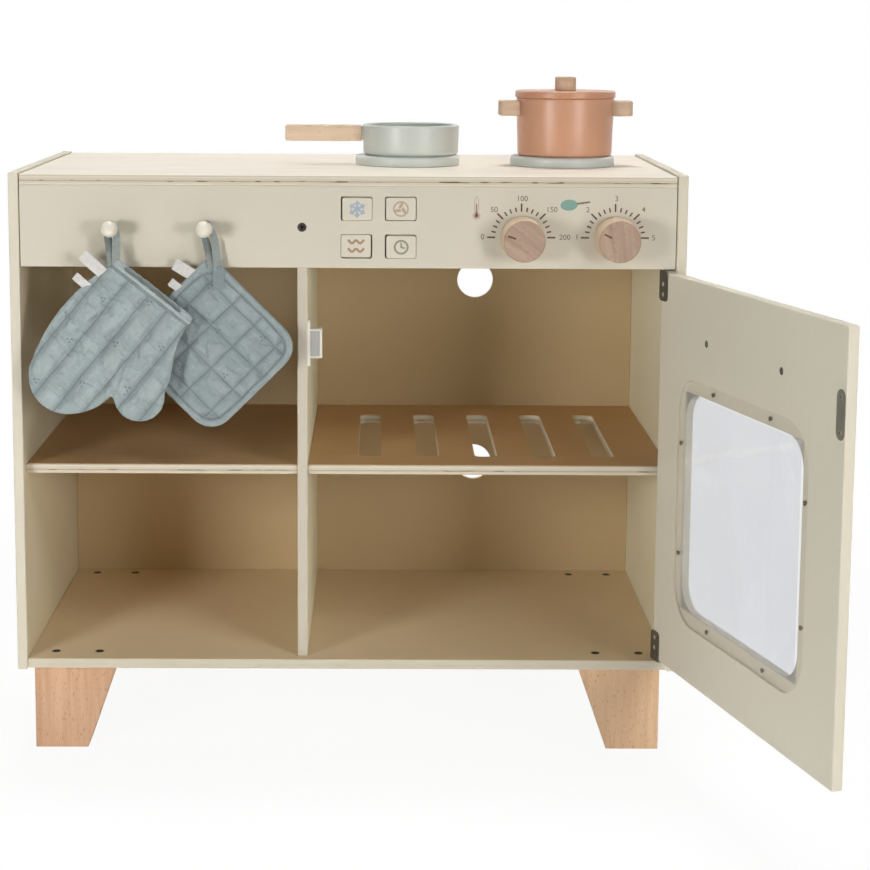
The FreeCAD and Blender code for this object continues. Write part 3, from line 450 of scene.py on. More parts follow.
@dataclass(frozen=True)
class Moulded:
    """Moulded plastic or sheet metal with a fine skin."""

    name: str
    colour: Colour
    roughness: float = 0.4
    metal: float = 0.0
    streak: float = 0.0

    def make(self) -> bpy.types.Material:
        """Return the material."""
        recipe = Recipe(self.name)
        spot = recipe.place()
        skin = recipe.noise(spot, 1800.0, 2.0)
        cloud = recipe.noise(spot, 60.0, 2.0)
        brush = recipe.noise(recipe.stretch(spot, (1.0, 1.0, 0.05)), 1500.0, 1.0)
        dark = tuple(c * 0.72 for c in self.colour[:3]) + (1.0,)
        shade = (cloud - 0.5) * 0.5 + brush * self.streak
        return recipe.surface(
            Base_Color=recipe.mix(shade.rise(0.0, 0.6), self.colour, dark),
            Roughness=self.roughness + (cloud - 0.5) * 0.12 + brush * self.streak * 0.3,
            Metallic=self.metal,
            Normal=recipe.bump(skin + brush * self.streak, 0.03 * MM, 0.4),
        )


@dataclass(frozen=True)
class Quilting:
    """Grey-green cotton quilted in straight rows, with a small sparse motif, painted shade in its valleys and
    creases and painted light on its puffs.
    """

    name: str
    centre: Vector
    angle: float
    pitch: float
    crossed: bool
    colour: Colour
    # dark: the cloth's darker tone, also the painted shade in its valleys and creases
    dark: Colour = tint(112, 125, 126)
    seam: Colour = tint(92, 104, 106)
    # pale: the paler tone of the hem band, also the painted light on the puffs
    pale: Colour = tint(184, 193, 190)
    mark: Colour = tint(104, 114, 116)
    marks: float = 0.6
    stitch_length: float = 2.6 * MM
    hem: Optional[Vector] = None
    hem_way: tuple[float, float] = (0.0, -1.0)
    half_side: float = 0.0

    def make(self) -> bpy.types.Material:
        """Return the material."""
        recipe = Recipe(self.name)
        spot = recipe.place(self.centre, (0.0, self.angle, 0.0))
        u, _, v = recipe.axes(spot)
        wobble = (recipe.noise(spot, 45.0, 2.0) - 0.5) * (2.4 * MM)
        row = (v + wobble).cell(self.pitch, 0.5)
        stitch = self.thread(row, u)
        valley_and_shade = row.fall(0.0, 5.0 * MM)
        if self.crossed:
            column = (u + wobble).cell(self.pitch, 0.5)
            stitch = stitch.math("MAXIMUM", self.thread(column, v))
            valley_and_shade = valley_and_shade.math("MAXIMUM", column.fall(0.0, 5.0 * MM))
        band: Input = 0.0
        if self.hem is not None:
            x, _, z = recipe.axes(recipe.place(self.hem))
            down = x * self.hem_way[0] + z * self.hem_way[1]
            band = down.fall(3.6 * MM, 4.4 * MM)
            sewn = abs(abs(down - 5.0 * MM) - 0.9 * MM).fall(0.2 * MM, 0.5 * MM)
            below = down > 6.4 * MM
            stitch = (stitch * below).math("MAXIMUM", sewn)
            valley_and_shade = (valley_and_shade * below).math("MAXIMUM", abs(down - 5.0 * MM).fall(0.6 * MM, 1.6 * MM))
        if self.half_side:
            spread = u.math("POWER", 6.0) + v.math("POWER", 6.0)
            rim = spread.math("POWER", 1 / 6) - (self.half_side - 6.2 * MM)
            within = rim < 0.0
            stitch = (stitch * within).math("MAXIMUM", abs(rim).fall(0.15 * MM, 0.7 * MM) * 0.7)
            valley_and_shade = (valley_and_shade * within).math("MAXIMUM", abs(rim).fall(0.0, 2.2 * MM))
        weave = u.wave(0.7 * MM).math("MAXIMUM", v.wave(0.7 * MM))
        slub = recipe.noise(recipe.stretch(spot, (0.15, 1.0, 1.0)), 900.0, 2.0)
        slub = slub * 0.5 + recipe.noise(recipe.stretch(spot, (1.0, 1.0, 0.15)), 900.0, 2.0) * 0.5
        cloud = recipe.noise(spot, 60.0, 4.0, 0.6)
        colour = recipe.mix(slub.rise(0.4, 0.64) * 0.2 + cloud.rise(0.35, 0.7) * 0.22, self.colour, self.dark)
        colour = recipe.mix(band * 0.45, colour, self.pale)
        # painted shade: a network of thin creases is darkened as well as sunk in the bump
        bent = recipe.noise(recipe.stretch(spot, (1.0, 1.0, 0.55)), 42.0, 3.0, 0.55)
        crease = (1.0 - abs(bent * 2.0 - 1.0)).rise(0.86, 0.995)
        # painted light: the puffs are lightened as well as raised in the bump
        puff_light = recipe.noise(spot, 34.0, 1.0).rise(0.46, 0.7)
        colour = recipe.mix(puff_light * 0.2, colour, self.pale)
        # painted shade: the valleys along the sewn rows, the hem's stitch line and the rim are darkened as
        # well as sunk in the bump
        colour = recipe.mix(valley_and_shade * 0.36, colour, self.dark)
        colour = recipe.mix(crease * (1.0 - band) * 0.15, colour, self.dark)
        colour = recipe.mix(self.motif(u, v) * self.marks, colour, self.mark)
        colour = recipe.mix(stitch * 0.5, colour, self.seam)
        height = weave * 0.1 + slub * 0.25 + cloud * 0.5
        height = height - stitch * 0.5 - valley_and_shade * 1.4 - crease * 1.1 + puff_light * 1.2
        return recipe.surface(
            Base_Color=colour,
            Roughness=0.84 + slub * 0.1,
            Normal=recipe.bump(height, 0.9 * MM, 0.9),
            Sheen_Weight=0.2,
            Sheen_Roughness=0.5,
            Specular_IOR_Level=0.15,
        )

    def thread(self, gap: Signal, run: Signal) -> Signal:
        """Return the mask of a sewn row, from the gap to the row and the place along it."""
        dash = run.cell(self.stitch_length).fall(0.75 * MM, 1.1 * MM)
        return gap.fall(0.15 * MM, 0.7 * MM) * (dash * 0.5 + 0.5)

    def motif(self, u: Signal, v: Signal) -> Signal:
        """Return the mask of a sparse motif: three dots in a triangle, in staggered lines."""
        wide, high = 47.0 * MM, 33.0 * MM
        odd = (v / high + 0.35).math("FLOOR").math("FLOORED_MODULO", 2.0)
        s = ((u / wide + odd * 0.5 + 0.2).math("FRACT") - 0.5) * wide
        t = ((v / high + 0.35).math("FRACT") - 0.5) * high
        pair = abs(s) - 1.7 * MM
        low = (pair * pair + t * t).math("SQRT")
        rest = t - 2.8 * MM
        top = (s * s + rest * rest).math("SQRT")
        return low.math("MINIMUM", top).fall(0.75 * MM, 1.25 * MM)


@dataclass(frozen=True)
class Cotton:
    """Plain woven cotton tape or label."""

    name: str
    colour: Colour
    dark: Colour
    rib: float = 0.8
    inner: Optional[Vector] = None

    def make(self) -> bpy.types.Material:
        """Return the material, with painted shade left of the inner line and above it, where there is one."""
        recipe = Recipe(self.name)
        spot = recipe.place()
        x, y, z = recipe.axes(spot)
        rib = (x + z).wave(self.rib * MM) * (z - x + y).wave(self.rib * MM)
        slub = recipe.noise(spot, 600.0, 3.0)
        colour = recipe.mix(slub.rise(0.3, 0.75) * 0.5 + rib * 0.2, self.colour, self.dark)
        if self.inner is not None:
            # painted shade: the tape's inner run, left of and above the inner point, is greyed
            left = (x - self.inner.x).fall(-0.6 * MM, 0.6 * MM) * (z - self.inner.z).rise(0.0, 6.0 * MM)
            colour = recipe.mix(left * 0.4, colour, tint(84, 94, 94))
        return recipe.surface(
            Base_Color=colour,
            Roughness=0.85 + slub * 0.1,
            Normal=recipe.bump(rib + slub * 0.6, 0.2 * MM, 0.6),
            Sheen_Weight=0.2,
            Specular_IOR_Level=0.2,
        )


@dataclass(frozen=True)
class Ink:
    """A thin print that the paint's skin shows through."""

    name: str
    colour: Colour

    def make(self) -> bpy.types.Material:
        """Return the material."""
        recipe = Recipe(self.name)
        spot = recipe.place()
        patch = recipe.noise(spot, 900.0, 2.0)
        pale = tuple(c * 0.8 + 0.12 for c in self.colour[:3]) + (1.0,)
        return recipe.surface(
            Base_Color=recipe.mix(patch.rise(0.45, 0.8) * 0.5, self.colour, pale),
            Roughness=0.5 + patch * 0.15,
        )


# Workbench


class Bench:
    """Modelling moves, each on one piece at a time, in millimetres."""

    @staticmethod
    def clear() -> None:
        """Leave edit mode and deselect everything."""
        if bpy.context.object and bpy.context.object.mode != "OBJECT":
            bpy.ops.object.mode_set(mode="OBJECT")
        bpy.ops.object.select_all(action="DESELECT")

    @staticmethod
    def only(piece: Piece) -> None:
        """Make a piece the one that is selected."""
        Bench.clear()
        piece.select_set(True)
        bpy.context.view_layer.objects.active = piece

    @staticmethod
    def added(name: str) -> Piece:
        """Name the primitive that was just added and apply its place."""
        piece = bpy.context.object
        piece.name = name
        piece.data.name = name
        bpy.ops.object.transform_apply(location=True, rotation=True, scale=True)
        return piece

    @staticmethod
    def lathe(name: str, profile: Profile, segments: int = 96) -> Piece:
        """Turn a piece round the z axis by extruding a disc from ring to ring.

        Args:
            name: the piece's name.
            profile: (radius, height) points from the foot's disc to the last disc.
            segments: sides of each ring.

        Returns:
            The closed piece.
        """
        Bench.clear()
        radius, height = profile[0]
        bpy.ops.mesh.primitive_circle_add(
            vertices=segments, radius=radius * MM, fill_type="NGON", location=(0, 0, height * MM)
        )
        piece = Bench.added(name)
        bpy.ops.object.mode_set(mode="EDIT")
        bpy.ops.mesh.select_all(action="SELECT")
        for next_radius, next_height in profile[1:]:
            step = {"value": (0, 0, (next_height - height) * MM)}
            bpy.ops.mesh.extrude_region_move(TRANSFORM_OT_translate=step)
            size = next_radius / radius
            centre = (0, 0, next_height * MM)
            bpy.ops.transform.resize(value=(size, size, 1), center_override=centre)
            radius, height = next_radius, next_height
        bpy.ops.mesh.select_all(action="SELECT")
        bpy.ops.mesh.normals_make_consistent(inside=False)
        Bench.clear()
        return Bench.smooth(piece)

    @staticmethod
    def block(name: str, size: Place, edge: float, steps: int = 3) -> Piece:
        """Make a block about the origin with its edges rounded.

        Args:
            name: the piece's name.
            size: its lengths along x, y and z.
            edge: the radius of the rounding.
            steps: faces across the rounding.

        Returns:
            The block.
        """
        Bench.clear()
        bpy.ops.mesh.primitive_cube_add(size=1, scale=Vector(size) * MM)
        piece = Bench.added(name)
        bpy.ops.object.mode_set(mode="EDIT")
        bpy.ops.mesh.select_all(action="SELECT")
        bpy.ops.mesh.bevel(offset=edge * MM, segments=steps, affect="EDGES")
        Bench.clear()
        return Bench.smooth(piece)

    @staticmethod
    def pick_edges(piece: Piece, test: Callable[[bmesh.types.BMEdge], bool]) -> None:
        """Select, in edit mode, the edges that pass a test."""
        mesh = bmesh.from_edit_mesh(piece.data)
        for edge in mesh.edges:
            edge.select_set(False)
        for edge in mesh.edges:
            if test(edge):
                edge.select_set(True)
        bmesh.update_edit_mesh(piece.data)

    @staticmethod
    def smooth(piece: Piece, angle: float = 35.0) -> Piece:
        """Shade a piece smooth, apart from edges sharper than an angle."""
        Bench.only(piece)
        bpy.ops.object.shade_smooth_by_angle(angle=math.radians(angle))
        return piece

    @staticmethod
    def modify(piece: Piece, kind: str, **settings: object) -> Piece:
        """Add a modifier with its settings and apply it."""
        Bench.only(piece)
        modifier = piece.modifiers.new(kind.lower(), kind)
        for key, value in settings.items():
            setattr(modifier, key, value)
        bpy.ops.object.modifier_apply(modifier=modifier.name)
        return piece

    @staticmethod
    def ease(piece: Piece, width: float, segments: int, angle: float) -> Piece:
        """Round the edges that are sharper than an angle, in millimetres and degrees."""
        limit = math.radians(angle)
        sizes = {"width": width * MM, "segments": segments}
        return Bench.modify(piece, "BEVEL", limit_method="ANGLE", angle_limit=limit, **sizes)

    @staticmethod
    def settle(piece: Piece, spot: Vector, turn: Place = (0, 0, 0)) -> Piece:
        """Turn a piece by Euler angles, carry it to a spot of the frame and apply both."""
        Bench.only(piece)
        piece.location, piece.rotation_euler = spot, turn
        bpy.ops.object.transform_apply(location=True, rotation=True, scale=True)
        return piece

    @staticmethod
    def open_door(piece: Piece) -> Piece:
        """Turn a piece that was made on the closed door to where the open door is."""
        swing = Matrix.Rotation(DOOR_ANGLE, 3, "Z")
        return Bench.settle(piece, DOOR_PIVOT - swing @ DOOR_PIVOT, (0, 0, DOOR_ANGLE))

    @staticmethod
    def copy(piece: Piece, name: str) -> Piece:
        """Return a copy of a piece with its own mesh."""
        twin = bpy.data.objects.new(name, piece.data.copy())
        bpy.context.scene.collection.objects.link(twin)
        return twin

    @staticmethod
    def from_node(node: str, name: str) -> Piece:
        """Return a copy of a CAD node's mesh with its loose triangles merged."""
        piece = Bench.copy(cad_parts[node], name)
        Bench.only(piece)
        bpy.ops.object.mode_set(mode="EDIT")
        bpy.ops.mesh.select_all(action="SELECT")
        bpy.ops.mesh.remove_doubles(threshold=1e-6)
        Bench.clear()
        return piece

    @staticmethod
    def join(name: str, pieces: Sequence[Piece]) -> Piece:
        """Join pieces into one."""
        Bench.only(pieces[0])
        for piece in pieces:
            piece.select_set(True)
        bpy.ops.object.join()
        pieces[0].name = name
        return pieces[0]

    @staticmethod
    def ribbon(name: str, spine: Sequence[Vector], widths: Sequence[Vector], thick: float) -> Piece:
        """Lay a flat tape along a spine.

        Args:
            name: the piece's name.
            spine: points of the tape's middle line, in metres.
            widths: the tape's half width at each point, as a vector in metres.
            thick: the tape's thickness in millimetres.

        Returns:
            The tape.
        """
        Bench.clear()
        rows = len(spine)
        bpy.ops.mesh.primitive_grid_add(x_subdivisions=4, y_subdivisions=rows - 1, size=2)
        piece = Bench.added(name)
        for vertex in piece.data.vertices:
            row = round((vertex.co.y + 1) / 2 * (rows - 1))
            vertex.co = spine[row] + widths[row] * vertex.co.x
        Bench.modify(piece, "SOLIDIFY", thickness=thick * MM, offset=0.0)
        Bench.only(piece)
        bpy.ops.object.mode_set(mode="EDIT")
        bpy.ops.mesh.select_all(action="SELECT")
        bpy.ops.mesh.normals_make_consistent(inside=False)
        Bench.clear()
        return Bench.smooth(piece, 50.0)

    @staticmethod
    def fit(piece: Piece, body: str, slot: str, look: bpy.types.Material, *nodes: str) -> Piece:
        """Give a piece its finish and its body.

        Args:
            piece: the finished piece, in place.
            body: the body that it rides on.
            slot: the record's material slot; not used.
            look: its material.
            nodes: CAD nodes that it stands for.

        Returns:
            The piece.
        """
        piece.data.materials.clear()
        piece.data.materials.append(look)
        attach(piece, body)
        if nodes:
            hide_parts(*nodes)
        LOG.info("%s: %d faces on %s", piece.name, len(piece.data.polygons), body)
        return piece

    @staticmethod
    def dress(look: bpy.types.Material, *nodes: str) -> None:
        """Give CAD nodes a finish."""
        for name in nodes:
            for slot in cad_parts[name].material_slots:
                slot.material = look
            LOG.info("%s: %s", name, look.name)


def rounded(points: Sequence[Place], steps: int = 5) -> Profile:
    """Return a profile with its corners rounded.

    Args:
        points: (radius, height, corner radius) of each corner.
        steps: chords along each rounded corner.

    Returns:
        The profile's (radius, height) points.
    """
    profile: Profile = []
    for index, (radius, height, corner) in enumerate(points):
        if not corner:
            profile.append((radius, height))
            continue
        here = Vector((radius, height))
        back = (Vector(points[index - 1][:2]) - here).normalized()
        ahead = (Vector(points[index + 1][:2]) - here).normalized()
        half = back.angle(ahead) / 2
        centre = here + (back + ahead).normalized() * (corner / math.sin(half))
        start = (here + back * (corner / math.tan(half)) - centre).normalized()
        end = (here + ahead * (corner / math.tan(half)) - centre).normalized()
        for step in range(steps + 1):
            point = centre + start.slerp(end, step / steps) * corner
            profile.append((point.x, point.y))
    return profile


# Sub-assemblies

CREAM = tint(220, 212, 192)
WORKTOP = tint(240, 230, 214)
# painted shade: a darker copy of the cream paint, for the fascia and the divider
SHADED_CREAM = tint(210, 202, 183)
SHELF = tint(200, 156, 102)
# painted shade: a darker, browner copy of the cream paint for the back panel, standing in part for the shade
# deep inside the cabinet
SHADED_INSIDE = tint(212, 187, 144)
# painted light: paler, warmer copies of the cream paint for the side panels' inner faces and both faces of
# the divider
LIT_INNER_LEFT = tint(228, 217, 188)
LIT_INNER_RIGHT = tint(243, 238, 211)


@dataclass
class Carcass:
    """The cabinet's boards."""

    thickness: float = 9.0
    back_middle: float = 298.0

    def build(self) -> None:
        """Dress the boards, each along its own grain."""
        side = HALF_WIDTH - self.thickness / 2
        for name, x, way, inner in (("left", -side, 1, LIT_INNER_LEFT), ("right", side, -1, LIT_INNER_RIGHT)):
            look = PlyBoard(
                f"paint_side_{name}",
                CREAM,
                Axis.X,
                at(x, 0, 0),
                Axis.Z,
                ply_show=0.0,
                voids=0.0,
                inner=inner,
                inner_way=way,
            )
            Bench.dress(look.make(), f"side_panel_{name}")
        divider = PlyBoard(
            "paint_divider",
            SHADED_CREAM,
            Axis.X,
            at(DIVIDER_X, 0, 0),
            Axis.Z,
            ply_show=0.0,
            voids=0.0,
            inner=LIT_INNER_RIGHT,
            # painted shade: the divider's set-back front edge is a darker copy of the cream
            edge_colour=tint(205, 196, 178),
        )
        Bench.dress(divider.make(), "divider_panel")
        top = PlyBoard(
            "birch_worktop",
            WORKTOP,
            Axis.Z,
            at(0, 0, WORKTOP_MIDDLE),
            Axis.X,
            ply_show=0.6,
            voids=0.9,
            figure=0.3,
            joints=(-SEAM_X, SEAM_X),
        )
        Bench.dress(top.make(), "worktop")
        shelf = PlyBoard(
            "birch_shelf",
            SHELF,
            Axis.Z,
            at(0, 0, SHELF_MIDDLE),
            Axis.X,
            ply_show=0.6,
            voids=0.5,
            figure=0.3,
            gloss=0.12,
        )
        Bench.dress(shelf.make(), "shelf_left", "oven_rack")
        # painted shade: the floor board's face is a warmer, yellower copy of the cream, for the warm shade
        # inside the cabinet
        floor = PlyBoard(
            "paint_floor",
            tint(230, 209, 172),
            Axis.Z,
            at(0, 0, FLOOR_MIDDLE),
            Axis.X,
            ply_show=0.06,
            voids=0.1,
            edge_colour=tint(213, 205, 184),
        )
        Bench.dress(floor.make(), "bottom_panel")
        fascia = PlyBoard(
            "paint_fascia",
            SHADED_CREAM,
            Axis.Y,
            at(0, FASCIA_MIDDLE, 0),
            Axis.X,
            ply_show=0.0,
            voids=0.0,
            joints=(-SEAM_X, SEAM_X),
        )
        Bench.dress(fascia.make(), "control_fascia", "button_tray")
        back = PlyBoard(
            "paint_back",
            SHADED_INSIDE,
            Axis.Y,
            at(0, self.back_middle, 0),
            Axis.Z,
            half=2.0,
            ply_show=0.2,
            voids=0.0,
            gloss=0.08,
        )
        Bench.dress(back.make(), "back_panel")


@dataclass
class Legs:
    """The four slanted beech legs."""

    left: tuple[str, ...] = ("leg_front_left", "leg_rear_left")
    right: tuple[str, ...] = ("leg_front_right", "leg_rear_right")

    def build(self) -> None:
        """Dress the legs with an upright grain; the right pair gets a paler copy of the same beech as painted
        light.
        """
        look = Beech("beech_leg", tint(222, 182, 149), tint(204, 161, 127), Axis.Z)
        Bench.dress(look.make(), *self.left)
        # painted light: a paler copy of the beech for the right pair, which the lamps reach less
        pale = Beech("beech_leg_lit", tint(236, 201, 165), tint(220, 181, 144), Axis.Z)
        Bench.dress(pale.make(), *self.right)


def puck(radius: float, height: float, corner: float) -> Profile:
    """Return the outline of a turned disc: a small chamfer below and a round corner above."""
    return rounded([(radius - 0.6, 0, 0), (radius, 0.6, 0.4), (radius, height, corner), (1.0, height, 0)])


@dataclass
class Hob:
    """Two sage discs on the worktop."""

    radius: float = 49.5
    thickness: float = 9.5
    corner: float = 3.0
    height: float = 527.5
    places: tuple[tuple[str, float], ...] = (("left", 54.0), ("right", 202.0))
    y: float = 152.0

    def build(self, look: bpy.types.Material) -> None:
        """Turn one disc and set it twice."""
        profile = puck(self.radius, self.thickness, self.corner)
        disc = Bench.lathe("hob_disc", profile, 128)
        for name, x in self.places:
            twin = Bench.settle(Bench.copy(disc, f"hob_{name}_turned"), at(x, self.y, self.height))
            Bench.fit(twin, "cabinet", "sage_paint", look, f"hob_disc_{name}")
        bpy.data.objects.remove(disc)


@dataclass
class Pegs:
    """Two painted ball pegs in the fascia."""

    neck: float = 4.0
    ball: float = 7.3
    ball_centre: float = 23.5
    face: float = 1.0
    height: float = CONTROL_HEIGHT
    places: tuple[tuple[str, float], ...] = (("left", -207.9), ("right", -125.4))

    def build(self) -> None:
        """Turn one peg and set it twice."""
        start = math.acos(self.neck / self.ball)
        profile: Profile = [(self.neck + 0.5, 0), (self.neck + 0.15, 1.0), (self.neck, 3.0)]
        for step in range(17):
            angle = -start + (math.radians(87) + start) * step / 16
            profile.append((self.ball * math.cos(angle), self.ball_centre + self.ball * math.sin(angle)))
        peg = Bench.lathe("peg", profile, 48)
        look = TurnedPaint("paint_peg", tint(226, 219, 203), tint(232, 226, 212)).make()
        for name, x in self.places:
            twin = Bench.settle(
                Bench.copy(peg, f"peg_{name}_turned"), at(x, self.face, self.height), (math.pi / 2, 0, 0)
            )
            Bench.fit(twin, "cabinet", "pale_beech", look, f"peg_{name}")
        bpy.data.objects.remove(peg)


@dataclass
class Knobs:
    """Two turned beech knobs, each with a dark pointer line."""

    foot: float = 19.6
    radius: float = 18.3
    length: float = 32.0
    edge: float = 1.6
    back: float = 0.7
    height: float = 473.2
    places: tuple[tuple[str, float, float, float], ...] = (
        ("left", 153.8, 18.3, 38.0),
        ("right", 236.8, 26.6, 82.0),
    )

    def build(self) -> None:
        """Turn one knob and set it twice, each with its own pointer."""
        profile = rounded(
            [
                (self.foot - 0.8, 0, 0),
                (self.foot, 0.8, 0.6),
                (self.radius, self.length, self.edge),
                (1.0, self.length, 0),
            ],
            6,
        )
        knob = Bench.lathe("knob", profile, 96)
        for name, x, angle, grain in self.places:
            look = Beech(
                f"beech_knob_{name}",
                tint(184, 158, 138),
                tint(160, 134, 114),
                Axis.X,
                middle=at(x, 0, self.height),
                turn=(0.0, math.radians(grain), 0.0),
                mark_angle=math.radians(angle),
                face=self.back - self.length + 0.5,
            )
            spot = at(x, self.back, self.height)
            twin = Bench.settle(Bench.copy(knob, f"knob_{name}_turned"), spot, (math.pi / 2, 0, 0))
            Bench.fit(twin, f"knob_{name}", "beech", look.make(), f"knob_{name}")
        bpy.data.objects.remove(knob)


@dataclass
class Prints:
    """The printed dials on the fascia and the symbols on the buttons."""

    face: float = 1.0
    proud: float = 0.06
    inner: float = 22.9
    outer: float = 30.2
    short: float = 27.0
    shift: tuple[float, float] = (-0.9, 0.4)
    dial_height: float = 473.2
    digit: float = 6.8
    dials: tuple[tuple[float, tuple[tuple[str, float, float], ...]], ...] = (
        (
            153.8,
            (
                ("0", 119.6, 473.4),
                ("50", 129.6, 497.6),
                ("100", 154.3, 507.5),
                ("150", 180.6, 497.8),
                ("200", 192.4, 473.3),
            ),
        ),
        (
            236.8,
            (
                ("1", 203.1, 473.8),
                ("2", 212.5, 497.9),
                ("3", 237.6, 507.8),
                ("4", 261.7, 498.2),
                ("5", 271.0, 473.2),
            ),
        ),
    )
    brown: bpy.types.Material = field(init=False)
    grey: bpy.types.Material = field(init=False)

    def build(self) -> None:
        """Print the two scales, their numbers, the two small signs and the button symbols."""
        self.brown = Ink("ink_brown", tint(86, 66, 48)).make()
        self.grey = Ink("ink_grey", tint(124, 108, 90)).make()
        for index, (x, numbers) in enumerate(self.dials, 1):
            self.scale(f"dial_{index}_scale", x)
            self.numbers(f"dial_{index}_numbers", numbers)
        self.thermometer(113.1, 500.0)
        self.pan_sign(200.4, 502.5)
        self.buttons()

    def bar(self, length: float, width: float) -> Piece:
        """Return a thin printed bar along x about the origin, with rounded ends."""
        Bench.clear()
        bpy.ops.mesh.primitive_plane_add(size=1, rotation=(math.pi / 2, 0, 0))
        bpy.context.object.scale = (length * MM, width * MM, 1)
        piece = Bench.added("bar")
        bpy.ops.object.mode_set(mode="EDIT")
        bpy.ops.mesh.select_all(action="SELECT")
        bpy.ops.mesh.bevel(offset=width * 0.3 * MM, segments=3, affect="VERTICES")
        bpy.ops.mesh.select_all(action="SELECT")
        bpy.ops.mesh.extrude_region_move(TRANSFORM_OT_translate={"value": (0, self.proud * MM, 0)})
        bpy.ops.mesh.select_all(action="SELECT")
        bpy.ops.mesh.normals_make_consistent(inside=False)
        Bench.clear()
        return piece

    def ring(self, radius: float, width: float, tall: float = 1.0, sides: int = 40) -> Piece:
        """Return a thin printed ring about the origin; tall stretches it upright."""
        Bench.clear()
        bpy.ops.mesh.primitive_circle_add(
            vertices=sides, radius=radius * MM, fill_type="NGON", rotation=(math.pi / 2, 0, 0)
        )
        bpy.context.object.scale = (1, tall, 1)
        piece = Bench.added("ring")
        bpy.ops.object.mode_set(mode="EDIT")
        bpy.ops.mesh.select_all(action="SELECT")
        if width < radius:
            bpy.ops.mesh.inset(thickness=width * MM, depth=0)
            bpy.ops.mesh.delete(type="FACE")
            bpy.ops.mesh.select_all(action="SELECT")
        bpy.ops.mesh.extrude_region_move(TRANSFORM_OT_translate={"value": (0, self.proud * MM, 0)})
        bpy.ops.mesh.select_all(action="SELECT")
        bpy.ops.mesh.normals_make_consistent(inside=False)
        Bench.clear()
        return piece

    def stamp(
        self, piece: Piece, x: float, z: float, turn: float = 0.0, face: Optional[float] = None
    ) -> Piece:
        """Set a print on the fascia, or on another face, turned anticlockwise in degrees."""
        y = (self.face if face is None else face) - self.proud
        return Bench.settle(piece, at(x, y, z), (0, -math.radians(turn), 0))

    def scale(self, name: str, x: float) -> None:
        """Print a half circle of seventeen ticks, every fourth one longer."""
        ticks = []
        for index in range(17):
            long = index % 4 == 0
            end = self.outer if long else self.short
            tick = self.bar(end - self.inner, 1.5 if long else 1.35)
            angle = math.radians(180 * index / 16)
            reach = (self.inner + end) / 2
            aside, above = reach * math.cos(angle), reach * math.sin(angle)
            spot = (x + self.shift[0] + aside, self.dial_height + self.shift[1] + above)
            ticks.append(self.stamp(tick, *spot, 180 * index / 16))
        Bench.fit(Bench.join(name, ticks), "cabinet", "cream_paint", self.brown)

    def numbers(self, name: str, numbers: Iterable[tuple[str, float, float]]) -> None:
        """Print the numbers of one dial."""
        made = []
        for text, x, z in numbers:
            Bench.clear()
            bpy.ops.object.text_add(rotation=(math.pi / 2, 0, 0))
            word = bpy.context.object
            word.data.body, word.data.size = text, self.digit * MM
            word.data.align_x, word.data.align_y = "CENTER", "CENTER"
            word.data.extrude = self.proud * MM / 2
            word.data.offset = 0.00003
            bpy.ops.object.convert(target="MESH")
            piece = Bench.added("number")
            made.append(self.stamp(piece, x + self.shift[0], z + self.shift[1]))
        Bench.fit(Bench.join(name, made), "cabinet", "cream_paint", self.grey)

    def thermometer(self, x: float, z: float) -> None:
        """Print a small thermometer: an outline with a red-brown stem and bulb."""
        red = Ink("ink_red", tint(158, 108, 92)).make()
        tube = self.ring(2.0, 0.5, 4.2)
        self.stamp(tube, x, z + 1.6)
        bulb = self.ring(3.4, 0.55)
        self.stamp(bulb, x, z - 7.4)
        pale = Ink("ink_pale", tint(166, 154, 136)).make()
        Bench.fit(Bench.join("thermometer_outline", [tube, bulb]), "cabinet", "cream_paint", pale)
        stem = self.bar(11.0, 1.1)
        self.stamp(stem, x, z - 2.2, 90)
        drop = self.ring(2.1, 9.0)
        self.stamp(drop, x, z - 7.4)
        Bench.fit(Bench.join("thermometer_fill", [stem, drop]), "cabinet", "cream_paint", red)

    def pan_sign(self, x: float, z: float) -> None:
        """Print a small pan seen from above: a teal oval and a thin handle."""
        teal = Ink("ink_teal", tint(124, 160, 148)).make()
        oval = self.ring(7.6, 9.0, 0.64)
        self.stamp(oval, x - 5.6, z, 4)
        Bench.fit(oval, "cabinet", "cream_paint", teal)
        oval.name = "pan_sign_bowl"
        handle = self.bar(11.6, 1.7)
        self.stamp(handle, x + 7.2, z + 2.0, 8)
        Bench.fit(handle, "cabinet", "cream_paint", self.grey)
        handle.name = "pan_sign_handle"

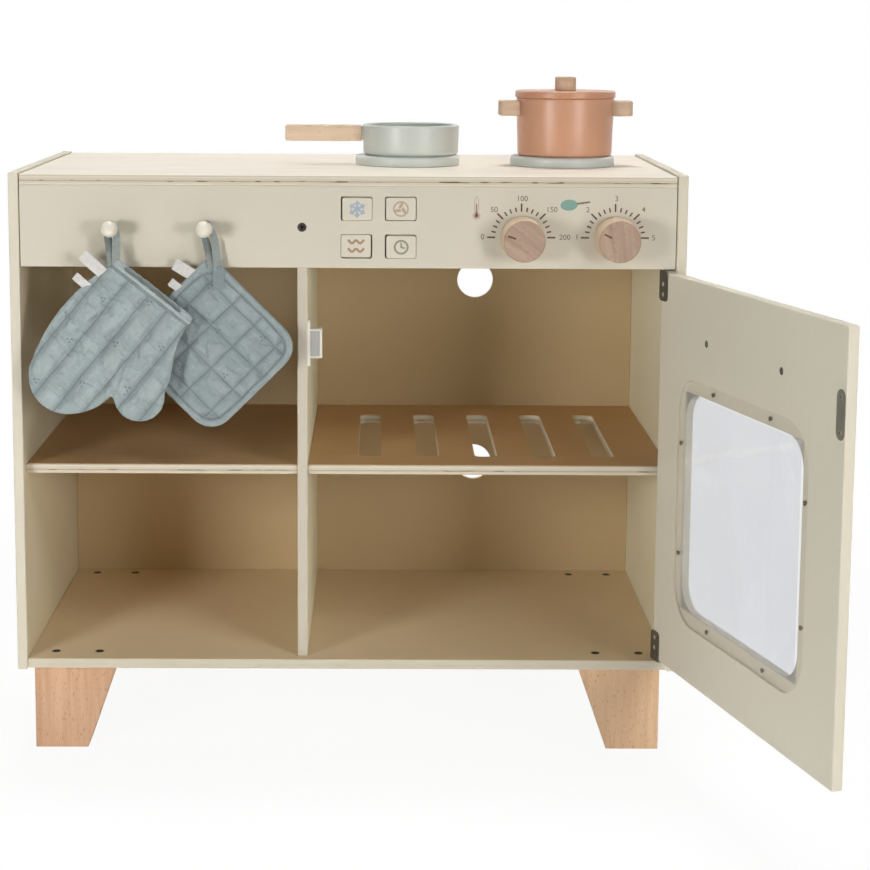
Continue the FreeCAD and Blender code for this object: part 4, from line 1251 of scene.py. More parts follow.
    def buttons(self) -> None:
        """Print one generic kitchen symbol on each button."""
        face, middle, aside, above = 0.4, (26.8, CONTROL_HEIGHT), 19.5, 16.8
        blue = Ink("ink_blue", tint(158, 172, 184)).make()
        tan = Ink("ink_tan", tint(186, 164, 140)).make()
        rust = Ink("ink_rust", tint(170, 136, 104)).make()
        olive = Ink("ink_olive", tint(146, 144, 124)).make()
        spots = {}
        for index, (dx, dz) in KEY_SHIFT.items():
            column, row = (index - 1) % 2 * 2 - 1, 1 - (index - 1) // 2 * 2
            spots[index] = (middle[0] + column * aside + dx, middle[1] + row * above + dz)
        x, z = spots[1]
        star = []
        for step, turn in enumerate((30, 90, 150)):
            star.append(self.stamp(self.bar(15.0, 1.9), x, z, turn, face - 0.02 * step))
        for turn in range(0, 360, 60):
            angle = math.radians(turn + 30)
            spot = (x + 5.2 * math.cos(angle), z + 5.2 * math.sin(angle))
            star.append(self.stamp(self.bar(4.8, 1.5), *spot, turn + 120, face - 0.06))
        Bench.fit(Bench.join("button_1_symbol", star), "button_1", "cream_paint", blue)
        x, z = spots[2]
        fan = [self.stamp(self.ring(7.0, 1.5), x, z, 0, face)]
        for turn in (90, 210, 330):
            angle = math.radians(turn)
            spot = (x + 3.0 * math.cos(angle), z + 3.0 * math.sin(angle))
            fan.append(self.stamp(self.ring(1.4, 9.0, 2.2, 24), *spot, turn + 60, face))
        Bench.fit(Bench.join("button_2_symbol", fan), "button_2", "cream_paint", tan)
        x, z = spots[3]
        heat = []
        for row in (3.8, -3.8):
            for step in range(4):
                spot = (x - 5.4 + step * 3.6, z + row)
                layer = face - 0.02 * (step % 2)
                heat.append(self.stamp(self.bar(5.2, 2.0), *spot, 45 if step % 2 else -45, layer))
        Bench.fit(Bench.join("button_3_symbol", heat), "button_3", "cream_paint", rust)
        x, z = spots[4]
        clock = [self.stamp(self.ring(6.6, 1.8), x, z, 0, face)]
        clock.append(self.stamp(self.bar(4.6, 1.5), x, z + 1.8, 90, face))
        clock.append(self.stamp(self.bar(3.8, 1.5), x + 1.5, z - 0.4, -18, face - 0.02))
        Bench.fit(Bench.join("button_4_symbol", clock), "button_4", "cream_paint", olive)


@dataclass
class Pan:
    """A small sage pan with a straight beech handle."""

    centre: tuple[float, float, float] = (57.0, 152.0, 537.0)
    radius: float = 46.0
    foot: float = 45.2
    height: float = 28.7
    wall: float = 4.8
    floor: float = 6.0
    round_foot: float = 4.0
    round_rim: float = 1.5
    handle: tuple[float, float, float] = (73.5, 14.0, 15.0)
    handle_middle: tuple[float, float, float] = (-25.9, 152.0, 557.2)

    def build(self, look: bpy.types.Material) -> None:
        """Turn the pan and shape its handle."""
        body = Bench.lathe("pan_turned", vessel(self), 128)
        Bench.settle(body, at(*self.centre))
        Bench.fit(body, "pan", "sage_paint", look, "pan_body")
        bar = Bench.block("pan_handle_bar", self.handle, 1.8, 4)
        Bench.settle(bar, at(*self.handle_middle))
        wood = Beech("beech_pan_handle", tint(230, 205, 178), tint(212, 182, 152), Axis.X, fleck_show=0.3)
        Bench.fit(bar, "pan", "beech", wood.make(), "pan_handle")


@dataclass
class Pot:
    """A terracotta pot with two block handles, a lid and the lid's knob."""

    centre: tuple[float, float, float] = (204.2, 152.0, 537.0)
    radius: float = 46.4
    foot: float = 44.8
    height: float = 55.0
    wall: float = 5.0
    floor: float = 7.0
    round_foot: float = 3.0
    round_rim: float = 1.5
    handle_reach: float = 17.0
    handle_width: float = 30.0
    handle_height: float = 14.2
    handle_middle: float = 581.9
    handle_corner: float = 5.0
    lid_radius: float = 47.7
    lid_thickness: float = 6.6
    spigot: float = 40.6
    knob_radius: float = 10.0
    knob_height: float = 13.0
    knob_corner: float = 1.4

    def build(self, look: bpy.types.Material, shaded_lid_look: bpy.types.Material) -> None:
        """Turn the pot, lid and knob and shape the handles."""
        x, y, z = self.centre
        body = Bench.settle(Bench.lathe("pot_turned", vessel(self), 128), at(*self.centre))
        Bench.fit(body, "pot", "terracotta_paint", look, "pot_body")
        grips = [self.grip(sign) for sign in (-1, 1)]
        pale, deep = tint(222, 196, 170), tint(202, 174, 146)
        wood = Beech("beech_pot_handle", pale, deep, Axis.X, fleck_show=0.3).make()
        Bench.fit(Bench.join("pot_grips", grips), "pot", "beech", wood, "pot_handles")
        lid = Bench.lathe(
            "lid_turned",
            rounded(
                [
                    (self.spigot - 0.6, -4.0, 0),
                    (self.spigot, -3.4, 0.4),
                    (self.spigot, 0, 0),
                    (self.lid_radius, 0, 1.0),
                    (self.lid_radius, self.lid_thickness, 1.8),
                    (2.0, self.lid_thickness, 0),
                ]
            ),
            128,
        )
        Bench.settle(lid, at(x, y, z + self.height))
        Bench.fit(lid, "lid", "terracotta_paint", shaded_lid_look, "pot_lid")
        knob = Bench.lathe("lid_knob_turned", puck(self.knob_radius, self.knob_height, self.knob_corner), 64)
        Bench.settle(knob, at(x, y, z + self.height + self.lid_thickness))
        Bench.fit(knob, "lid", "beech", wood, "lid_knob")

    def grip(self, sign: int) -> Piece:
        """Return one handle: a block with its outer corners rounded, let into the wall."""
        inside = 3.0
        length = self.handle_reach + inside
        Bench.clear()
        size = Vector((length, self.handle_width, self.handle_height)) * MM
        bpy.ops.mesh.primitive_cube_add(size=1, scale=size)
        piece = Bench.added("grip")
        bpy.ops.object.mode_set(mode="EDIT")
        outer = sign * length / 2 * MM
        Bench.pick_edges(
            piece,
            lambda edge: all(abs(v.co.x - outer) < 1e-5 for v in edge.verts)
            and abs(edge.verts[0].co.y - edge.verts[1].co.y) < 1e-5,
        )
        bpy.ops.mesh.bevel(offset=self.handle_corner * MM, segments=7, affect="EDGES")
        Bench.clear()
        Bench.ease(piece, 1.3, 3, 40.0)
        Bench.smooth(piece)
        middle = self.centre[0] + sign * (self.radius - inside + length / 2)
        return Bench.settle(piece, at(middle, self.centre[1], self.handle_middle))


def vessel(shape: Union[Pan, Pot]) -> Profile:
    """Return the profile of a vessel with a tapered wall and a softened rim and foot."""
    inner = shape.radius - shape.wall
    return rounded(
        [
            (2.0, 0, 0),
            (shape.foot, 0, shape.round_foot),
            (shape.radius, shape.height, shape.round_rim),
            (inner, shape.height, shape.round_rim),
            (shape.foot - shape.wall, shape.floor, shape.round_foot),
            (2.0, shape.floor, 0),
        ],
        6,
    )


@dataclass
class OvenDoor:
    """The door with its window, strike, hinges and bar handle."""

    window: tuple[float, float] = WINDOW_CENTRE
    opening: tuple[float, float] = (211.0, 194.0)
    pane_play: float = 0.12

    def build(self) -> None:
        """Dress the door's boards and fittings, and lay the pane loose in its seat."""
        paint = PlyBoard(
            "paint_door",
            tint(223, 217, 197),
            Axis.Y,
            DOOR_PIVOT,
            Axis.Z,
            turn=DOOR_ANGLE,
            ply_show=0.0,
            voids=0.0,
        )
        Bench.dress(paint.make(), "door_panel")
        pane = Bench.from_node("window_pane", "window_sheet")
        Bench.modify(pane, "DISPLACE", strength=-self.pane_play * MM, mid_level=0.0)
        Bench.smooth(pane, 30.0)
        acrylic = ClearPane("acrylic_pane", self.window, self.opening).make()
        Bench.fit(pane, "door", "clear_pane", acrylic, "window_pane")
        pale, deep = tint(214, 176, 146), tint(192, 150, 118)
        wood = Beech("beech_door_handle", pale, deep, Axis.X, turn=(0, 0, DOOR_ANGLE))
        Bench.dress(wood.make(), "door_handle")
        steel = Moulded("zinc_plate", tint(132, 130, 122), 0.24, 0.8, 0.9).make()
        Bench.dress(steel, "hinge_leaf_top", "hinge_leaf_bottom", "hinge_pivots")
        Bench.dress(Moulded("zinc_strike", tint(136, 136, 126), 0.34, 0.35, 0.5).make(), "strike_plate")


@dataclass
class Fittings:
    """The catch, the button keys and springs, and the retainers behind the fascia."""

    key_play: float = 0.24
    key_forward: float = 0.14

    def build(self) -> None:
        """Dress the moulded and metal fittings."""
        white = Moulded("moulded_white", tint(230, 224, 210), 0.42).make()
        Bench.dress(white, "catch_housing")
        look = Moulded("moulded_key", tint(216, 208, 190), 0.45).make()
        for index, (aside, above) in KEY_SHIFT.items():
            node = f"button_{index}"
            key = Bench.from_node(node, f"{node}_key")
            Bench.modify(key, "DISPLACE", strength=-self.key_play * MM, mid_level=0.0)
            Bench.smooth(key, 30.0)
            Bench.settle(key, Vector((aside, -self.key_forward, above)) * MM)
            Bench.fit(key, node, "cream_paint", look, node)
        steel = Moulded("zinc_wire", tint(170, 168, 162), 0.32, 1.0, 0.4).make()
        for index, (aside, above) in KEY_SHIFT.items():
            self.spring(index, Vector((aside, 0, above)) * MM, steel)
        Bench.dress(steel, "catch_magnet", "knob_left_retainer", "knob_right_retainer")
        rod = Beech("beech_spindle", tint(214, 178, 146), tint(190, 150, 118), Axis.Y).make()
        Bench.dress(rod, "knob_left_spindle", "knob_right_spindle")

    def spring(self, index: int, shift: Vector, look: bpy.types.Material) -> None:
        """Copy a key's spring and shift it with its key."""
        node = f"button_spring_{index}"
        coil = Bench.settle(Bench.from_node(node, f"{node}_coil"), shift)
        Bench.smooth(coil, 40.0)
        coil.data.materials.clear()
        coil.data.materials.append(look)
        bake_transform(coil)
        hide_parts(node)
        LOG.info("%s: %d faces between button_%d and cabinet", coil.name, len(coil.data.polygons), index)


class Facing(Enum):
    """The way that a screw head looks, as the Euler turn of an upright one."""

    FRONT = (math.pi / 2, 0.0, 0.0)
    BACK = (-math.pi / 2, 0.0, 0.0)
    LEFT = (0.0, -math.pi / 2, 0.0)
    RIGHT = (0.0, math.pi / 2, 0.0)
    UP = (0.0, 0.0, 0.0)


@dataclass
class Screws:
    """Countersunk screws, shown by their cross-slotted heads."""

    proud: float = 0.06

    def build(self) -> None:
        """Set every group of screws on its body."""
        dark = Moulded("screw_black", tint(58, 52, 46), 0.36, 0.6, 0.2).make()
        bright = Moulded("screw_zinc", tint(184, 178, 166), 0.3, 1.0, 0.3).make()
        sides = []
        rows = [(y, z) for z in (WORKTOP_MIDDLE, FLOOR_MIDDLE) for y in (60, 240)]
        rows += [(90, SHELF_MIDDLE), (210, SHELF_MIDDLE), (FASCIA_MIDDLE, CONTROL_HEIGHT)]
        for x, way in ((-HALF_WIDTH, Facing.LEFT), (HALF_WIDTH, Facing.RIGHT)):
            sides += [(x, y, z, way) for y, z in rows]
        sides.append((DIVIDER_X, 1, CONTROL_HEIGHT, Facing.FRONT))
        self.group("panel_screws", "cabinet", "dark_screw", dark, 4.0, sides)
        across = [sx * 248.5 + step for sx in (-1, 1) for step in (-20, 20)]
        legs = [(x, y, 86, Facing.UP) for x in across for y in (23, 281)]
        self.group("leg_screws", "cabinet", "dark_screw", dark, 4.0, legs)
        back = [(DIVIDER_X, BACK_FACE, z, Facing.BACK) for z in (172.5, 345.5, 475.3)]
        for x in (-217.35, -119.15, 61.75, 192.75):
            back += [(x, BACK_FACE, z, Facing.BACK) for z in (SHELF_MIDDLE, FLOOR_MIDDLE)]
        self.group("back_screws", "cabinet", "dark_screw", dark, 3.0, back)
        wx, wz = WINDOW_CENTRE
        window = [(wx + sx * 51.5, 8.9, wz + sz * 103.5, Facing.BACK) for sx in (-1, 1) for sz in (-1, 1)]
        window += [(wx + sx * 112, 8.9, wz + sz * 49.5, Facing.BACK) for sx in (-1, 1) for sz in (-1, 1)]
        grey = Moulded("screw_grey", tint(112, 106, 96), 0.36, 0.4, 0.2).make()
        self.group("window_screws", "door", "dark_screw", grey, 2.0, window)
        handle = [(127.2 + sx * 67, 9.5, 392.5, Facing.BACK) for sx in (-1, 1)]
        self.group("handle_screws", "door", "dark_screw", grey, 3.2, handle)
        strike = [(-33.3, 9.7, 376 + sz * 13.5, Facing.BACK) for sz in (-1, 1)]
        self.group("strike_screws", "door", "bright_screw", bright, 2.0, strike)
        pale = Moulded("screw_plated", tint(206, 206, 202), 0.3, 0.3, 0.2).make()
        Bench.dress(pale, "hinge_screws", "catch_screws")
        Bench.dress(dark, "tray_screws")

    def head(self, radius: float) -> Piece:
        """Return a low domed head with a cross slot, its rim at the origin."""
        top = self.proud + radius * 0.03
        outline = [(radius, -0.4), (radius, 0), (radius * 0.92, top * 0.5)]
        outline += [(radius * 0.6, top * 0.9), (0.3, top)]
        head = Bench.lathe("head", outline, 32)
        Bench.clear()
        arms = []
        for turn in (math.radians(22), math.radians(112)):
            arm = Bench.block("arm", (radius * 1.15, radius * 0.28, radius * 0.7), radius * 0.06, 1)
            arms.append(Bench.settle(arm, Vector((0, 0, 0)), (0, 0, turn)))
        for arm in arms:
            Bench.modify(head, "BOOLEAN", operation="DIFFERENCE", object=arm, solver="EXACT")
            bpy.data.objects.remove(arm)
        return Bench.smooth(head, 30)

    def group(
        self,
        node: str,
        body: str,
        slot: str,
        look: bpy.types.Material,
        radius: float,
        places: Sequence[tuple[float, float, float, Facing]],
    ) -> None:
        """Set copies of one head.

        Args:
            node: the CAD node of screws that the heads stand for.
            body: the body that they ride on.
            slot: the record's material slot.
            look: their material.
            radius: the head's radius.
            places: where each head is flush, and the way it looks.
        """
        first = self.head(radius)
        heads = []
        for x, y, z, way in places:
            heads.append(Bench.settle(Bench.copy(first, "head"), at(x, y, z), way.value))
        bpy.data.objects.remove(first)
        piece = Bench.join(f"{node}_heads", heads)
        if body == "door":
            Bench.open_door(piece)
        Bench.fit(piece, body, slot, look, node)


@dataclass(frozen=True)
class Fold:
    """A fold pressed into a pad's front, along a line in x and z."""

    start: tuple[float, float]
    end: tuple[float, float]
    depth: float
    width: float

    def push(self, x: float, z: float) -> float:
        """Return how far back the fold takes a point of the front, in millimetres."""
        line = Vector(self.end) - Vector(self.start)
        offset = Vector((x, z)) - Vector(self.start)
        share = min(max(offset.dot(line) / line.length_squared, 0.0), 1.0)
        gap = (offset - line * share).length / self.width
        dent = math.exp(-gap * gap) - 0.5 * math.exp(-((gap - 1.7) ** 2))
        return self.depth * dent * math.sin(math.pi * min(max(share, 0.12), 0.88))


@dataclass
class Quilt:
    """A quilted pad, swollen out from its solid by a cloth simulation with its seams held."""

    node: str
    body: str
    middle: float
    reach: tuple[float, float]
    voxel: float = 1.7
    shrink: float = 0.3
    swell: float = 2.1
    pressure: float = 5.0
    frames: int = 16
    pitch: float = 20.0
    sink: float = 2.3
    pucker: float = 0.7
    wrinkle: float = 15.0
    crumple: float = 1.5
    folds: tuple[Fold, ...] = ()

    def held(self, x: float, y: float, z: float) -> float:
        """Return how firmly the sewing holds a point, 0 to 1."""
        raise NotImplementedError

    def sewn(self, x: float, z: float) -> tuple[float, float]:
        """Return how far a point is from the nearest sewn row, and its place along that row."""
        raise NotImplementedError

    def flat(self, x: float, z: float) -> float:
        """Return how much of the quilting shows at a place, 0 where the pad is plain."""
        return 1.0

    def shaped(self, x: float, y: float, z: float) -> Place:
        """Return where a point of the plain solid lies once the pad is cut and hung."""
        return (x, y, z)

    def depth(self, x: float, z: float) -> float:
        """Return the half thickness that the sewing leaves at a place."""
        return 100.0

    def pad(self, name: str) -> Piece:
        """Return the pad: the solid remeshed, swollen, folded and subdivided once."""
        piece = Bench.from_node(self.node, name)
        Bench.modify(piece, "DISPLACE", strength=-self.shrink * MM, mid_level=0.0)
        Bench.modify(piece, "REMESH", mode="VOXEL", voxel_size=self.voxel * MM)
        for vertex in piece.data.vertices:
            vertex.co = at(*self.shaped(*((vertex.co - ORIGIN) / MM)))
        self.inflate(piece)
        self.press(piece)
        Bench.modify(piece, "SUBSURF", levels=1, render_levels=1)
        return Bench.smooth(piece, 85.0)

    def inflate(self, piece: Piece) -> None:
        """Swell a piece under pressure, with no gravity, and cap how far a point moves."""
        group = piece.vertex_groups.new(name="sewn")
        for vertex in piece.data.vertices:
            spot = (vertex.co - ORIGIN) / MM
            group.add([vertex.index], self.held(*spot), "REPLACE")
        before = [vertex.co.copy() for vertex in piece.data.vertices]
        Bench.only(piece)
        cloth = piece.modifiers.new("cloth", "CLOTH")
        settings = cloth.settings
        settings.quality = 5
        settings.mass = 0.2
        settings.tension_stiffness = settings.compression_stiffness = 8.0
        settings.shear_stiffness = 3.0
        settings.bending_stiffness = 0.05
        settings.use_pressure = True
        settings.uniform_pressure_force = self.pressure
        settings.vertex_group_mass = "sewn"
        settings.effector_weights.gravity = 0.0
        cloth.point_cache.frame_start, cloth.point_cache.frame_end = 1, self.frames
        for number in range(1, self.frames + 1):
            bpy.context.scene.frame_set(number)
        bpy.ops.object.modifier_apply(modifier=cloth.name)
        bpy.context.scene.frame_set(1)
        moved = [(v.co - b).length for v, b in zip(piece.data.vertices, before)]
        LOG.info("%s swells by up to %.2f mm", piece.name, max(moved) / MM)
        for vertex, start in zip(piece.data.vertices, before):
            move = vertex.co - start
            if move.length > self.swell * MM:
                vertex.co = start + move.normalized() * (self.swell * MM)

    def press(self, piece: Piece) -> None:
        """Sink the rows into the front, crease it and keep the pad within its reach."""
        front, back = self.reach
        for vertex in piece.data.vertices:
            x, y, z = (vertex.co - ORIGIN) / MM
            y = min(max(y - self.middle, -self.depth(x, z)), self.depth(x, z)) + self.middle
            y = min(max(y, front), back)
            ahead = self.middle - y
            if ahead > 1.5:
                y += self.dent(x, z) * min((ahead - 1.5) / 1.5, 1.0)
                y = min(y, self.middle - 1.3)
            vertex.co.y = ORIGIN.y + (y - self.curl(x, z)) * MM

    def curl(self, x: float, z: float) -> float:
        """Return how far forward of the peg's plane a place hangs."""
        return 0.0

    def dent(self, x: float, z: float) -> float:
        """Return how far the sewing, the folds and the creases take the front back."""
        gap, along = self.sewn(x, z)
        share = 0.5 + 0.5 * math.cos(2 * math.pi * gap / self.pitch)
        dent = self.sink * share**1.6
        gather = noise.noise(Vector((along / 5.5, 9.0, gap / 14)))
        dent += self.pucker * gather * math.exp(-((gap / 5.0) ** 2))
        soft = noise.noise(Vector((x, 0, z)) / self.wrinkle) * 0.7
        soft += noise.noise(Vector((x, 50, z)) / (self.wrinkle * 0.45)) * 0.3
        dent += self.crumple * (0.55 + soft)
        dent *= self.flat(x, z)
        return dent + sum(fold.push(x, z) for fold in self.folds)


@dataclass
class Strap:
    """A tape loop that goes round a peg's neck and is sewn into a pad."""

    name: str
    node: str
    body: str
    peg: tuple[float, float]
    left_end: tuple[float, float]
    right_end: tuple[float, float]
    peg_y: float
    end_y: float
    half_width: float = 4.0
    round_peg: float = 5.4
    thick: float = 1.0
    left_turn: tuple[float, float] = (40.0, 58.0)
    right_turn: tuple[float, float] = (44.0, 66.0)

    def build(self, look: bpy.types.Material) -> Piece:
        """Lay the tape up its left run, over the peg and down its right run."""
        spine: list[Vector] = []
        widths: list[Vector] = []
        runs = 14
        for step in range(runs):
            self.run(spine, widths, self.left_end, -1, 1 - step / runs, self.left_turn)
        for step in range(13):
            angle = math.pi - math.pi * step / 12
            x = self.peg[0] + self.round_peg * math.cos(angle)
            z = self.peg[1] + self.round_peg * math.sin(angle)
            spine.append(at(x, self.peg_y, z))
            widths.append(Vector((0, self.half_width, 0)) * MM)
        for step in range(1, runs + 1):
            self.run(spine, widths, self.right_end, 1, step / runs, self.right_turn)
        tape = Bench.ribbon(f"{self.name}_tape", spine, widths, self.thick)
        return Bench.fit(tape, self.body, "cotton_tape", look, self.node)

    def run(
        self,
        spine: list[Vector],
        widths: list[Vector],
        end: tuple[float, float],
        side: int,
        share: float,
        turn: tuple[float, float],
    ) -> None:
        """Add one point of a run between the peg and the pad.

        Args:
            spine: the tape's middle line so far.
            widths: the tape's half widths so far.
            end: x and z where the run is sewn in.
            side: -1 for the left run and 1 for the right.
            share: 0 at the peg and 1 at the sewn end.
            turn: how far the tape has turned below the peg and at the sewn end, in degrees.
        """
        drawn = share**0.6
        x = (self.peg[0] + side * self.round_peg) * (1 - drawn) + end[0] * drawn
        z = self.peg[1] * (1 - share) + end[1] * share
        y = self.peg_y * (1 - share) + self.end_y * share
        soon = min(share / 0.3, 1.0)
        angle = math.radians(90 - (turn[0] * soon + (turn[1] - turn[0]) * share))
        spine.append(at(x, y, z))
        widths.append(Vector((math.cos(angle), math.sin(angle), 0)) * (self.half_width * MM))


@dataclass
class Label:
    """A bare folded label that is sewn into a seam."""

    name: str
    body: str
    root: tuple[float, float, float]
    tip: tuple[float, float, float]
    width: float
    hangs_on: str
    curl: float = 1.2

    def build(self, look: bpy.types.Material) -> None:
        """Lay the label from its seam to its tip, a little curled."""
        root, tip = at(*self.root), at(*self.tip)
        run = tip - root
        across = run.cross(Vector((0, 1, 0))).normalized()
        spine, widths = [], []
        for step in range(13):
            share = step / 12
            lift = Vector((0, -math.sin(share * math.pi * 0.9) * self.curl * MM, 0))
            spine.append(root + run * share + lift)
            wide = across * (self.width / 2 * MM)
            widths.append(wide + Vector((0, 0.25 * math.sin(share * 5) * MM, 0)))
        piece = Bench.ribbon(self.name, spine, widths, 0.5)
        Bench.fit(piece, self.body, "cotton", look)
        length = run.length
        flat = (max(self.width * MM, 0.01), length)
        self.width * MM * length


@dataclass
class Mitt(Quilt):
    """The oven mitt with its hem, strap and labels."""

    centre: tuple[float, float] = (-208.1, 366.2)
    channel: tuple[float, float] = (0.636, 0.772)
    pitch: float = 21.4
    cuff_corner: tuple[float, float] = (-203.3, 453.0)
    cuff_angle: float = 37.6
    cuff_width: float = 84.0

    tuck: float = 10.0
    tuck_below: float = 28.0
    tuck_spread: float = 26.0
    cuff_reach: float = 15.0
    cuff_lift: float = 3.2
    cuff_open: tuple[float, float] = (-2.4, 1.4)
    thumb_curl: float = 7.5

    def down(self, x: float, z: float) -> float:
        """Return how far a point is below the cuff's edge."""
        angle = math.radians(self.cuff_angle)
        return -(x - self.cuff_corner[0]) * math.sin(angle) - (z - self.cuff_corner[1]) * math.cos(angle)

    def along(self, x: float, z: float) -> float:
        """Return how far a point is along the cuff's edge."""
        angle = math.radians(self.cuff_angle)
        return (x - self.cuff_corner[0]) * math.cos(angle) - (z - self.cuff_corner[1]) * math.sin(angle)

    def shaped(self, x: float, y: float, z: float) -> Place:
        """Return where a point lies once the thumb side is tucked in and the cuff stands open."""
        down, along = self.down(x, z), self.along(x, z)
        near = min(max((along - 45.0) / 50.0, 0.0), 1.0)
        spread = math.exp(-(((down - self.tuck_below) / self.tuck_spread) ** 2))
        spread *= min(max(down / 10.0, 0.0), 1.0)
        shift = -self.tuck * spread * near * near * (3 - 2 * near)
        lift = 0.0
        if down < self.cuff_reach:
            share = 1 - max(down, 0.0) / self.cuff_reach
            behind = y > self.middle
            place = min(max(along / self.cuff_width, 0.0), 1.0)
            y += self.cuff_open[behind] * share * math.sin(math.pi * place) ** 0.5
            lift = self.cuff_lift * share if behind else 0.0
        angle = math.radians(self.cuff_angle)
        x += shift * math.cos(angle) + lift * math.sin(angle)
        z += -shift * math.sin(angle) + lift * math.cos(angle)
        return (x, y, z)

    def held(self, x: float, y: float, z: float) -> float:
        """Return how firmly a point is held: along the rows, at the cuff and in the pocket."""
        if abs(y - self.middle) < 2.9 or self.down(x, z) < 6.0:
            return 1.0
        return max(0.0, 1.0 - self.sewn(x, z)[0] / 1.8)

    def sewn(self, x: float, z: float) -> tuple[float, float]:
        """Return the gap to the nearest row and the place along it."""
        dx, dz = x - self.centre[0], z - self.centre[1]
        across = dx * self.channel[1] - dz * self.channel[0]
        gap = abs((across / self.pitch) % 1.0 - 0.5) * self.pitch
        return gap, dx * self.channel[0] + dz * self.channel[1]

    def curl(self, x: float, z: float) -> float:
        """Return how far forward the free thumb side hangs."""
        share = min(max((self.along(x, z) - 30.0) / 70.0, 0.0), 1.0)
        return self.thumb_curl * share * share * (3 - 2 * share)

    def flat(self, x: float, z: float) -> float:
        """Return how much of the quilting shows: none on the hem."""
        return min(max((self.down(x, z) - 4.0) / 5.0, 0.0), 1.0)

    def build(self, label: bpy.types.Material) -> None:
        """Pad the mitt and add its strap and labels."""
        angle = -math.atan2(self.channel[1], self.channel[0])
        cuff = math.radians(self.cuff_angle)
        look = Quilting(
            "cotton_mitt",
            at(self.centre[0], self.middle, self.centre[1]),
            angle,
            self.pitch * MM,
            False,
            tint(172, 184, 183),
            hem=at(self.cuff_corner[0], 0, self.cuff_corner[1]),
            hem_way=(-math.sin(cuff), -math.cos(cuff)),
        ).make()
        piece = self.pad("mitt_quilted")
        Bench.fit(piece, self.body, "cotton", look, self.node)
        strap = Strap(
            "mitt_strap",
            "mitt_loop",
            self.body,
            (-207.9, CONTROL_HEIGHT),
            (-206.5, 449.0),
            (-203.2, 447.0),
            -12.5,
            -18.4,
        )
        shade = at(-206.8, 0, 458)
        pale, deep = tint(164, 172, 167), tint(140, 149, 146)
        strap.build(Cotton("cotton_mitt_strap", pale, deep, inner=shade).make())
        for name, start, end, width in (
            ("mitt_label_large", (-213.5, -18.6, 441.5), (-232.0, -20.0, 459.0), 10.2),
            ("mitt_label_small", (-225.5, -18.6, 428.5), (-239.0, -19.6, 440.4), 7.4),
        ):
            Label(name, self.body, start, end, width, piece.name).build(label)


